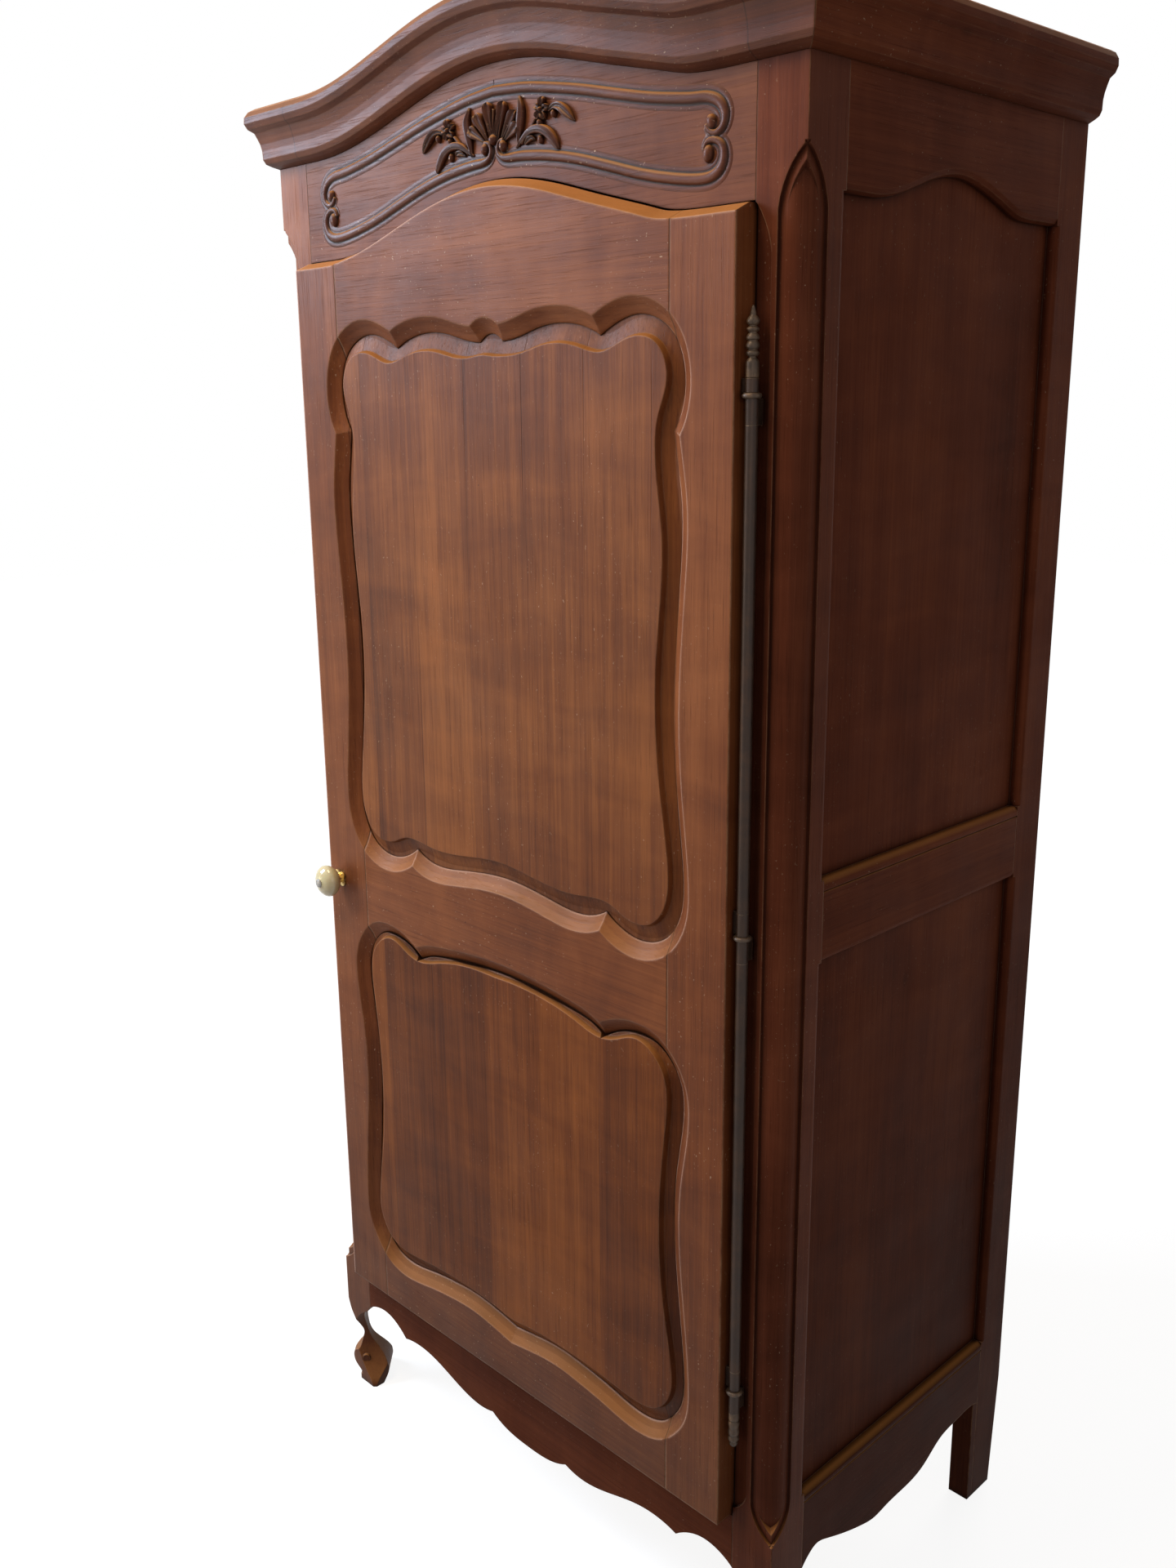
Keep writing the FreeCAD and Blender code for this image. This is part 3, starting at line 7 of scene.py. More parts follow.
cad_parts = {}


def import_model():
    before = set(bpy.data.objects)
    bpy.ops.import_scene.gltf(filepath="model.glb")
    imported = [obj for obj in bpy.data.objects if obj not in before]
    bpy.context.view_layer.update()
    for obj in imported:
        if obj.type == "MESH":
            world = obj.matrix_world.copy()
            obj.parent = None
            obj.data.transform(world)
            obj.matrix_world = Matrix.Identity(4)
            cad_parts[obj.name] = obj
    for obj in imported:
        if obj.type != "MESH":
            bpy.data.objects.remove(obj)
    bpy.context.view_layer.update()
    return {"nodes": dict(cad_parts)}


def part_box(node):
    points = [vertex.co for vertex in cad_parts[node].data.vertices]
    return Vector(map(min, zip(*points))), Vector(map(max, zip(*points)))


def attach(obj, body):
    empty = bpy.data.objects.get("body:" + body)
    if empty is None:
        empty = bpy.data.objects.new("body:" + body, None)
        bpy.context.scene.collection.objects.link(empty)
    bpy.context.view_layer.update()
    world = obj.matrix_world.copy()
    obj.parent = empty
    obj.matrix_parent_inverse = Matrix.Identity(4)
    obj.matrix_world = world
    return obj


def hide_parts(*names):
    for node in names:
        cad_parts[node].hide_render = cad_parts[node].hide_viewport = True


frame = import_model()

# Looks of a one-door cupboard (bonnetiere) of old waxed walnut. The CAD nodes keep their shapes and get
# procedural materials. The new pieces are the carving on the frieze, the turned parts of the hinge column,
# the glazed knob with its nose, and the nails of its rosette. Lengths are in metres, unless a comment says
# millimetres.

MM = 0.001
WHITE = (1.0, 1.0, 1.0, 1.0)


# ---------------------------------------------------------------- node helpers
class Tree:
    """Node tree of a material or a world, with short calls that add nodes and link them."""

    def __init__(self, owner, output="OutputMaterial"):
        owner.use_nodes = True
        self.owner = owner
        self.nodes = owner.node_tree.nodes
        self.links = owner.node_tree.links
        self.nodes.clear()
        self.output = self.add(output)

    def add(self, kind, inputs=None, **settings):
        node = self.nodes.new("ShaderNode" + kind)
        for key, value in settings.items():
            setattr(node, key, value)
        for key, value in (inputs or {}).items():
            self.set(node.inputs[key], value)
        return node

    def set(self, socket, value):
        if isinstance(value, bpy.types.NodeSocket):
            self.links.new(value, socket)
        else:
            socket.default_value = value

    def place(self):
        """Object coordinates, in metres."""
        return self.add("TexCoord").outputs["Object"]

    def part(self, vector, index):
        return self.add("SeparateXYZ", {0: vector}).outputs[index]

    def math(self, operation, a, b=0.0, c=0.0, clamp=False):
        node = self.add("Math", {0: a, 1: b, 2: c}, operation=operation, use_clamp=clamp)
        return node.outputs[0]

    def swing(self, value, amount, middle=0.0):
        """A pattern of 0 to 1, turned into one that swings by amount in all about the middle."""
        return self.math("MULTIPLY_ADD", value, amount, middle - amount / 2)

    def spread(self, value, low, high, new_low=0.0, new_high=1.0):
        node = self.add("MapRange", {0: value, 1: low, 2: high, 3: new_low, 4: new_high})
        return node.outputs[0]

    def mix(self, factor, a, b, blend="MIX"):
        node = self.add("Mix", data_type="RGBA", blend_type=blend)
        self.set(node.inputs[0], factor)
        self.set(node.inputs[6], a)
        self.set(node.inputs[7], b)
        return node.outputs[2]

    def tint(self, base, amount, colour):
        return self.mix(amount, base, (*colour, 1.0))

    def dim(self, base, share):
        grey = self.add("CombineColor", {0: share, 1: share, 2: share}).outputs[0]
        return self.mix(1.0, base, grey, "MULTIPLY")

    def ramp(self, value, stops):
        node = self.add("ValToRGB", {"Fac": value})
        elements = node.color_ramp.elements
        while len(elements) < len(stops):
            elements.new(0.5)
        for element, (position, colour) in zip(elements, stops):
            element.position = position
            element.color = (*colour, 1.0)
        return node.outputs[0]

    def noise(self, vector, scale, detail=2.0, roughness=0.5, distortion=0.0):
        node = self.add("TexNoise", {"Vector": vector, "Scale": scale, "Detail": detail,
                                     "Roughness": roughness, "Distortion": distortion})
        return node.outputs["Fac"]

    def stretched(self, point, across, along):
        """Coordinates scaled so that features are drawn out along the grain (the third coordinate)."""
        node = self.add("Mapping", {"Vector": point, "Scale": (across, across, along)}, vector_type="POINT")
        return node.outputs[0]

    def grain_noise(self, point, across, along, detail=2.0, roughness=0.5, distortion=0.0):
        """Noise with about so many features per metre across and along the grain."""
        return self.noise(self.stretched(point, across, along), 1.0, detail, roughness, distortion)

    def scatter(self, vector, scale):
        """Distance to the nearest of scattered points."""
        node = self.add("TexVoronoi", {"Vector": vector, "Scale": scale, "Randomness": 1.0}, feature="F1")
        return node.outputs["Distance"]

    def sameness(self, rounded_normal):
        """1 on a flat face, and less where the rounded normal turns away at an edge."""
        own = self.add("NewGeometry").outputs["Normal"]
        return self.add("VectorMath", {0: rounded_normal, 1: own}, operation="DOT_PRODUCT").outputs["Value"]

    def finish(self, shader):
        self.links.new(shader.outputs[0], self.output.inputs["Surface"])
        return self.owner


def shaded(colour, share):
    return tuple(c * share for c in colour)


# ---------------------------------------------------------------- wood
# features per metre across and along the grain, detail, roughness, distortion
WAVER = (3.4, 1.6, 3.0, 0.6)
FIGURE = (15.0, 1.2, 5.0, 0.6, 0.7)
STREAKS = (230.0, 3.4, 4.0, 0.62)
CURL = (7.0, 17.0, 3.0, 0.55, 0.4)
FIBRES = (620.0, 14.0, 3.0, 0.6)
RING_STRETCH = (10.0, 0.55)    # across and along the grain

WORM_HOLE = (0.008, 0.004, 0.003)
OLD_WAX = (0.50, 0.36, 0.25)
# light colour of the rubbed edges, partly wear and partly painted highlight
RUBBED_EDGE_HIGHLIGHT = (0.46, 0.26, 0.14)
# colour of the painted highlight on arrises that face left or up
ARRIS_HIGHLIGHT = (0.62, 0.39, 0.30)
# colour of the painted light on faces that look up
TOP_LIGHT_PAINT = (0.62, 0.27, 0.07)

FLOOR_SHADE_FOOT = 0.06              # up to this height the painted shade towards the floor is at its full
FRAME_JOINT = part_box("right_front_stile")[0][0]   # where frieze and apron meet the stiles
DOOR_JOINT = 0.317             # from the middle to the shoulders of the door's rails
NO_JOINT = 0.9                 # beyond the sides, where nothing shows
GRAIN_ORDER = {"X": ("Y", "Z", "X"), "Y": ("X", "Z", "Y"), "Z": ("X", "Y", "Z")}


def along_grain(t, place, axis):
    """The same coordinates, turned so that the third one runs along the grain."""
    parts = t.add("SeparateXYZ", {0: place})
    combined = t.add("CombineXYZ", {k: parts.outputs[name] for k, name in enumerate(GRAIN_ORDER[axis])})
    return combined.outputs[0]


def figured(t, point, streaks, contrast):
    """Tone of the bare wood: about 0 where it is dark, 1 where it is light."""
    rings = t.add("TexWave", {"Vector": t.stretched(point, *RING_STRETCH), "Scale": 1.0, "Distortion": 7.0,
                              "Detail": 3.0, "Detail Scale": 1.2, "Detail Roughness": 0.6},
                  wave_type="BANDS", bands_direction="X").outputs["Fac"]
    tone = t.swing(t.grain_noise(point, *FIGURE), 0.52 * contrast, 0.5)
    tone = t.math("ADD", tone, t.swing(streaks, 0.42 * contrast))
    tone = t.math("ADD", tone, t.swing(rings, 0.07))
    tone = t.math("ADD", tone, t.swing(t.grain_noise(point, *WAVER), 0.80))
    return t.math("ADD", tone, t.swing(t.grain_noise(point, *CURL), 0.46))


def boards(t, point, width):
    """Each board's own shift of tone, and the joint lines between boards, open here and there."""
    bend = t.swing(t.grain_noise(point, 0.8, 0.35), 0.24)
    step = t.math("ADD", t.math("DIVIDE", t.part(point, 0), width), bend)
    own = t.add("TexWhiteNoise", {"W": t.math("FLOOR", step)}, noise_dimensions="1D").outputs["Value"]
    inside = t.math("FRACT", step)
    edge = t.math("MINIMUM", inside, t.math("SUBTRACT", 1.0, inside))
    seam = t.spread(edge, 0.0, 0.009, 1.0, 0.0)
    open_here = t.spread(t.grain_noise(point, 4.0, 3.0, 1.0), 0.44, 0.58)
    return t.swing(own, 0.30), t.math("MULTIPLY", seam, open_here)


def blemishes(t, base, point, dark, wear_and_highlight):
    """A few knots with a dark halo, worm holes, and pale specks of old wax."""
    spots = t.scatter(t.stretched(point, 6.5, 3.4), 1.0)
    rare = t.spread(t.grain_noise(point, 1.7, 1.0, 1.0), 0.54, 0.62)
    for reach, amount, colour in ((0.20, 0.38, dark), (0.06, 0.65, shaded(dark, 0.35))):
        knot = t.math("MULTIPLY", t.spread(spots, 0.02, reach, 1.0, 0.0), rare)
        base = t.tint(base, t.math("MULTIPLY", knot, amount), colour)
    holes = t.spread(t.scatter(point, 34.0), 0.022, 0.040, 1.0, 0.0)
    holes = t.math("MULTIPLY", holes, t.spread(t.noise(point, 3.1, 1.0), 0.52, 0.60))
    base = t.tint(base, t.math("MULTIPLY", holes, 0.85), WORM_HOLE)
    specks = t.spread(t.grain_noise(point, 300.0, 190.0, 2.0, 0.6), 0.68, 0.74)
    specks = t.math("MULTIPLY", specks, t.spread(t.noise(point, 4.3, 2.0), 0.42, 0.60))
    return t.tint(base, t.math("MULTIPLY", specks, 0.60 * wear_and_highlight), OLD_WAX)


def painted_shade(t, base, point, place, openness, dark, hollow_shade, floor_shade, rise):
    """Painted shade in the hollows, painted shade towards the floor, and painted shade in the cut lines of
    the carving.
    """
    # painted shade in hollows narrower than reach
    base = t.dim(base, t.spread(openness, hollow_shade, 0.95, 0.15, 1.0))
    # painted shade: darker towards the floor, whole again at the height rise
    level = t.math("ADD", t.part(place, 2), t.swing(t.noise(point, 6.0, 3.0), 0.24))
    base = t.dim(base, t.spread(level, FLOOR_SHADE_FOOT, rise, floor_shade, 1.0))
    # painted shade in the cut lines of the carving, from the groove_shade attribute
    groove_shade = t.add("Attribute", attribute_name="groove_shade").outputs["Fac"]
    return t.tint(base, t.math("MULTIPLY", groove_shade, 0.88), shaded(dark, 0.22))


def rubbed_and_highlit_edges(t, base, point, openness, sameness, wear_and_highlight):
    """Edges worn lighter in patches by handling, which also stand for a painted highlight along the edges."""
    edges = t.spread(sameness, 0.997, 0.90)
    edges = t.math("MULTIPLY", edges, t.spread(t.noise(point, 22.0, 4.0, 0.7), 0.34, 0.60))
    edges = t.math("MULTIPLY", edges, t.spread(openness, 0.72, 0.98))
    return t.tint(base, t.math("MULTIPLY", edges, 0.495 * wear_and_highlight), RUBBED_EDGE_HIGHLIGHT)


def painted_arris_highlights(t, base, point, place, soft, sameness, dark, arris_highlight, joint):
    """Painted highlight on the arrises that face left or up, and dark lines instead at the flush joints."""
    own_normal = t.add("VectorTransform", {0: soft}, vector_type="NORMAL", convert_from="WORLD",
                       convert_to="OBJECT").outputs[0]
    highlight = t.math("MULTIPLY_ADD", t.part(own_normal, 0), -1.8,
                    t.math("MULTIPLY", t.part(own_normal, 2), 1.1), clamp=True)
    from_joint = t.math("ABSOLUTE", t.math("SUBTRACT", t.math("ABSOLUTE", t.part(place, 0)), joint))
    highlight = t.math("MULTIPLY", highlight, t.spread(from_joint, 0.004, 0.007))
    highlight = t.math("MULTIPLY", highlight, t.spread(sameness, 0.998, 0.95))
    highlight = t.math("MULTIPLY", highlight, t.spread(t.noise(point, 14.0, 3.0, 0.6), 0.25, 0.50, 0.55, 1.0))
    base = t.tint(base, t.math("MULTIPLY", highlight, arris_highlight), ARRIS_HIGHLIGHT)
    return t.tint(base, t.spread(from_joint, 0.0006, 0.0013, 0.55, 0.0), shaded(dark, 0.35))


def painted_top_light(t, base, openness, wear_and_highlight):
    """Painted light on open faces that look up: lighter and more orange where light falls from above."""
    lift = t.part(t.add("NewGeometry").outputs["Normal"], 2)
    top_lit = t.math("MULTIPLY", t.spread(lift, 0.25, 0.9), t.spread(openness, 0.45, 0.9))
    return t.tint(base, t.math("MULTIPLY", top_lit, 0.42 * wear_and_highlight), TOP_LIGHT_PAINT)


def wood(name, axis, tones, seed, board=0.0, gloss=0.46, sheen=0.15, wear_and_highlight=1.0, floor_shade=0.55, rise=0.80,
         contrast=1.0, reach=0.014, hollow_shade=0.40, edge_round=0.0025, arris_highlight=0.35, joint=FRAME_JOINT):
    """Old waxed wood, with its grain along an axis and its tones from dark to light.

    seed shifts the pattern. board is the width of the glued boards of a panel, 0 for one board. gloss is
    the middle roughness and sheen the specular level. wear_and_highlight scales the worn edges, which are
    partly painted highlight, the wax specks and the painted light on faces that look up, and contrast the
    figure.
    Painted shade darkens hollows narrower than reach, the more so the higher hollow_shade is. floor_shade is
    what is left of the colour at the floor under the painted shade that darkens towards the floor, and rise
    the height at which it is whole. edge_round is the radius at which edges look rounded, arris_highlight
    how strong the painted highlight is on arrises that face left or up, and joint where the flush joints lie.
    """
    dark, middle, light = tones
    t = Tree(bpy.data.materials.new(name))
    place = t.place()
    moved = t.add("Mapping", {"Vector": along_grain(t, place, axis),
                              "Location": (seed, seed * 0.7, seed * 1.3)})
    point = moved.outputs[0]
    streaks = t.grain_noise(point, *STREAKS)
    fibres = t.grain_noise(point, *FIBRES)
    pores = t.spread(fibres, 0.56, 0.72)
    tone = figured(t, point, streaks, contrast)
    if board:
        own, seam = boards(t, point, board)
        tone = t.math("ADD", tone, own)
    base = t.ramp(tone, [(0.20, dark), (0.47, middle), (0.72, light), (0.92, shaded(light, 1.2))])
    base = t.tint(base, t.math("MULTIPLY", pores, 0.42), shaded(dark, 0.5))
    if board:
        base = t.tint(base, t.math("MULTIPLY", seam, 0.6), shaded(dark, 0.4))
    base = blemishes(t, base, point, dark, wear_and_highlight)

    openness = t.add("AmbientOcclusion", {"Distance": reach}, samples=8, only_local=False).outputs["AO"]
    soft = t.add("Bevel", {"Radius": edge_round}, samples=6).outputs[0]
    sameness = t.sameness(soft)
    base = painted_shade(t, base, point, place, openness, dark, hollow_shade, floor_shade, rise)
    base = rubbed_and_highlit_edges(t, base, point, openness, sameness, wear_and_highlight)
    base = painted_arris_highlights(t, base, point, place, soft, sameness, dark, arris_highlight, joint)
    base = painted_top_light(t, base, openness, wear_and_highlight)

    rough = t.swing(t.noise(point, 9.0, 4.0, 0.6), 0.24, gloss)
    rough = t.math("MULTIPLY_ADD", pores, 0.12, rough)
    height = t.math("MULTIPLY_ADD", fibres, 0.5, t.math("MULTIPLY", streaks, 0.5))
    height = t.math("SUBTRACT", height, t.math("MULTIPLY", pores, 0.7))
    if board:
        height = t.math("SUBTRACT", height, t.math("MULTIPLY", seam, 1.6))
    bump = t.add("Bump", {"Strength": 0.30, "Distance": 0.0007, "Height": height, "Normal": soft})
    return t.finish(t.add("BsdfPrincipled", {"Base Color": base, "Roughness": rough, "IOR": 1.46,
                                             "Specular IOR Level": sheen, "Normal": bump.outputs[0]}))


# ---------------------------------------------------------------- metal and porcelain
WORN_IRON_EDGE = (0.30, 0.21, 0.14)
GLAZE_SPECK = (0.35, 0.26, 0.16)
GLAZE_CRACK = (0.40, 0.30, 0.18)


def iron(name, dark, light, rust):
    """Forged iron with drawn-out runs, pits, rust and rubbed edges."""
    t = Tree(bpy.data.materials.new(name))
    place = t.place()
    patches = t.noise(place, 42.0, 5.0, 0.65)
    pits = t.noise(place, 420.0, 3.0, 0.6)
    runs = t.grain_noise(place, 160.0, 9.0, 3.0)
    base = t.ramp(t.math("MULTIPLY_ADD", runs, 0.4, t.math("MULTIPLY", patches, 0.6)),
                  [(0.32, dark), (0.5, light), (0.66, rust)])
    soft = t.add("Bevel", {"Radius": 0.0012}, samples=6).outputs[0]
    worn = t.spread(t.sameness(soft), 0.99, 0.85)
    base = t.tint(base, t.math("MULTIPLY", worn, 0.5), WORN_IRON_EDGE)
    rough = t.math("MULTIPLY_ADD", patches, 0.35, 0.28)
    bump = t.add("Bump", {"Strength": 0.5, "Distance": 0.0004, "Height": pits, "Normal": soft})
    return t.finish(t.add("BsdfPrincipled", {"Base Color": base, "Roughness": rough, "Metallic": 0.25,
                                             "Specular IOR Level": 0.3, "Normal": bump.outputs[0]}))


def porcelain(name):
    """Cream glaze with clouds, specks and fine cracks."""
    t = Tree(bpy.data.materials.new(name))
    place = t.place()
    cloud = t.noise(place, 60.0, 4.0, 0.6)
    specks = t.spread(t.noise(place, 700.0, 2.0), 0.70, 0.76)
    base = t.ramp(cloud, [(0.3, (0.60, 0.53, 0.29)), (0.7, (0.70, 0.63, 0.38))])
    base = t.tint(base, t.math("MULTIPLY", specks, 0.35), GLAZE_SPECK)
    cells = t.add("TexVoronoi", {"Vector": place, "Scale": 260.0}, feature="DISTANCE_TO_EDGE")
    cracks = t.spread(cells.outputs["Distance"], 0.0, 0.03, 1.0, 0.0)
    base = t.tint(base, t.math("MULTIPLY", cracks, 0.16), GLAZE_CRACK)
    rough = t.math("MULTIPLY_ADD", cloud, 0.1, 0.10)
    bump = t.add("Bump", {"Strength": 0.08, "Distance": 0.0003, "Height": cloud})
    return t.finish(t.add("BsdfPrincipled", {"Base Color": base, "Roughness": rough, "IOR": 1.5,
                                             "Subsurface Weight": 0.08, "Subsurface Scale": 0.004,
                                             "Coat Weight": 0.25, "Coat Roughness": 0.08,
                                             "Normal": bump.outputs[0]}))


def brass(name):
    """Old brass, tarnished in clouds and finely scratched."""
    t = Tree(bpy.data.materials.new(name))
    place = t.place()
    tarnish = t.noise(place, 130.0, 5.0, 0.65)
    scratches = t.grain_noise(place, 900.0, 60.0)
    base = t.ramp(tarnish, [(0.32, (0.30, 0.19, 0.07)), (0.52, (0.62, 0.45, 0.18)),
                            (0.7, (0.78, 0.60, 0.28))])
    rough = t.math("MULTIPLY_ADD", tarnish, 0.3, 0.16)
    bump = t.add("Bump", {"Strength": 0.2, "Distance": 0.0002, "Height": scratches})
    return t.finish(t.add("BsdfPrincipled", {"Base Color": base, "Roughness": rough, "Metallic": 1.0,
                                             "Normal": bump.outputs[0]}))


# ---------------------------------------------------------------- materials on the CAD nodes
# dark, middle and light tone of each kind of wood
WALNUT = ((0.086, 0.024, 0.009), (0.166, 0.049, 0.016), (0.248, 0.082, 0.027))
CORNICE = ((0.049, 0.015, 0.009), (0.094, 0.029, 0.015), (0.158, 0.053, 0.026))
FRIEZE = ((0.080, 0.023, 0.010), (0.146, 0.046, 0.018), (0.220, 0.076, 0.028))
# a darker copy of WALNUT: painted shade for the right front stile
SHADED = ((0.070, 0.019, 0.009), (0.124, 0.035, 0.017), (0.180, 0.054, 0.026))
PANEL = ((0.076, 0.020, 0.006), (0.148, 0.043, 0.012), (0.234, 0.077, 0.021))
LOW_PANEL = ((0.070, 0.018, 0.005), (0.142, 0.040, 0.010), (0.225, 0.070, 0.017))
SIDE = ((0.080, 0.020, 0.009), (0.140, 0.037, 0.017), (0.205, 0.058, 0.025))
INSIDE = ((0.20, 0.12, 0.06), (0.34, 0.21, 0.11), (0.46, 0.31, 0.17))

DOOR_FRAME = dict(wear_and_highlight=1.1, sheen=0.14, floor_shade=0.45, reach=0.007, edge_round=0.0045, arris_highlight=0.9,
                  joint=DOOR_JOINT)
DOOR_PANEL = dict(wear_and_highlight=0.8, reach=0.016, hollow_shade=0.45, arris_highlight=0.15, joint=NO_JOINT)
FLANK = dict(sheen=0.02, floor_shade=0.35, rise=1.3)
BARE = dict(gloss=0.7, wear_and_highlight=0.2, floor_shade=0.9)

materials = {
    "frame_z": wood("frame_upright", "Z", WALNUT, seed=1.3),
    # the front apron takes the darker side palette: partly its darker stain, partly painted shade under the
    # door
    "apron_x": wood("apron_wood", "X", SIDE, seed=2.4, sheen=0.02, floor_shade=0.5),
    # the right front stile: the same walnut in its darker copy, as painted shade
    "stile_right": wood("right_upright", "Z", SHADED, seed=1.3, sheen=0.04, floor_shade=0.6),
    "carving": wood("carved_wood", "X", CORNICE, seed=5.5, gloss=0.36, wear_and_highlight=1.5, reach=0.006),
    "frieze_x": wood("frieze_wood", "X", FRIEZE, seed=4.1, reach=0.006, sheen=0.12),
    "cornice_x": wood("cornice_long", "X", CORNICE, seed=7.7, gloss=0.40),
    "door_z": wood("door_upright", "Z", WALNUT, seed=2.9, **DOOR_FRAME),
    "door_x": wood("door_crosswise", "X", WALNUT, seed=9.4, **DOOR_FRAME),
    "lower_panel": wood("lower_door_panel", "Z", LOW_PANEL, seed=6.3, board=0.118, sheen=0.11, floor_shade=0.8,
                        contrast=1.25, **DOOR_PANEL),
    "panel_z": wood("door_panel", "Z", PANEL, seed=5.2, board=0.112, sheen=0.15, floor_shade=0.75, contrast=1.35,
                    **DOOR_PANEL),
    "side_z": wood("side_upright", "Z", SIDE, seed=3.3, **FLANK),
    "side_y": wood("side_crosswise", "Y", SIDE, seed=6.6, **FLANK),
    "side_panel": wood("side_panel", "Z", SIDE, seed=8.1, wear_and_highlight=0.5, **FLANK),
    "inside_x": wood("inside_long", "X", INSIDE, seed=1.9, **BARE),
    "inside_y": wood("inside_short", "Y", INSIDE, seed=2.2, **BARE),
    "inside_z": wood("inside_upright", "Z", INSIDE, seed=3.7, board=0.16, **BARE),
    "iron": iron("hinge_iron", (0.020, 0.011, 0.008), (0.036, 0.020, 0.013), (0.065, 0.033, 0.019)),
    "worn_iron": iron("rubbed_iron", (0.028, 0.018, 0.012), (0.085, 0.055, 0.036), (0.17, 0.105, 0.06)),
    "porcelain": porcelain("porcelain"),
    "brass": brass("old_brass"),
    "steel": iron("nose_steel", (0.20, 0.20, 0.19), (0.42, 0.42, 0.40), (0.30, 0.28, 0.24)),
}

# the nodes of each material; those not named here are of iron
nodes_of = {
    "stile_right": ["right_front_stile"],
    "frame_z": ["left_front_stile"],
    "frieze_x": ["frieze_rail"],
    "apron_x": ["front_apron"],
    "cornice_x": ["cornice_front"],
    "side_z": [],
    "side_y": [],
    "side_panel": [],
    "door_z": ["door_left_stile", "door_right_stile"],
    "door_x": ["door_top_rail", "door_middle_rail", "door_bottom_rail"],
    "panel_z": ["door_upper_panel"],
    "lower_panel": ["door_lower_panel"],
    "inside_x": ["back_top_rail", "back_middle_rail", "back_bottom_rail", "floor_board", "top_board",
                 "lower_shelf", "middle_shelf", "upper_shelf"],
    "inside_y": ["floor_bearers", "top_bearers", "shelf_cleats"],
    "inside_z": ["back_upper_panel", "back_lower_panel"],
    "porcelain": ["porcelain_knob"],
    "brass": ["knob_nose_screw", "knob_rosette", "latch_strike"],
}
for side in ("right", "left"):
    nodes_of["side_z"] += [f"{side}_rear_stile", f"{side}_rear_foot_bracket"]
    nodes_of["side_y"] += [f"{side}_cornice_side", f"{side}_side_top_rail", f"{side}_side_middle_rail",
                           f"{side}_side_apron"]
    nodes_of["side_panel"] += [f"{side}_side_upper_panel", f"{side}_side_lower_panel"]
material_of = {node: material for material, nodes in nodes_of.items() for node in nodes}

for name, obj in frame["nodes"].items():
    obj.data.materials.clear()
    obj.data.materials.append(materials[material_of.get(name, "iron")])


# ---------------------------------------------------------------- carved frieze
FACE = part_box("frieze_rail")[0][1]   # plane of the frieze's front face
CURVE_STEPS = 7                # divisions of a carved line between two of its points
DOME_RINGS = 6
DOME_SIDES = 20


def rounded(points, steps=CURVE_STEPS):
    """Smooth line through the points, each a tuple of numbers."""
    out = []
    last = len(points) - 1
    for k in range(last):
        before = points[max(k - 1, 0)]
        a = points[k]
        b = points[k + 1]
        after = points[min(k + 2, last)]
        for n in range(steps):
            u = n / steps
            place = []
            for i in range(len(a)):
                slope_a = (b[i] - before[i]) / 2
                slope_b = (after[i] - a[i]) / 2
                place.append((2 * u ** 3 - 3 * u ** 2 + 1) * a[i] + (u ** 3 - 2 * u ** 2 + u) * slope_a
                             + (3 * u ** 2 - 2 * u ** 3) * b[i] + (u ** 3 - u ** 2) * slope_b)
            out.append(tuple(place))
    out.append(tuple(points[-1]))
    return out


def placed(name, data):
    """Smooth-shaded object of a mesh, with its faces turned outwards."""
    mesh = bmesh.new()
    mesh.from_mesh(data)
    bmesh.ops.recalc_face_normals(mesh, faces=mesh.faces)
    mesh.to_mesh(data)
    mesh.free()
    obj = bpy.data.objects.new(name, data)
    bpy.context.scene.collection.objects.link(obj)
    for face in data.polygons:
        face.use_smooth = True
    return obj


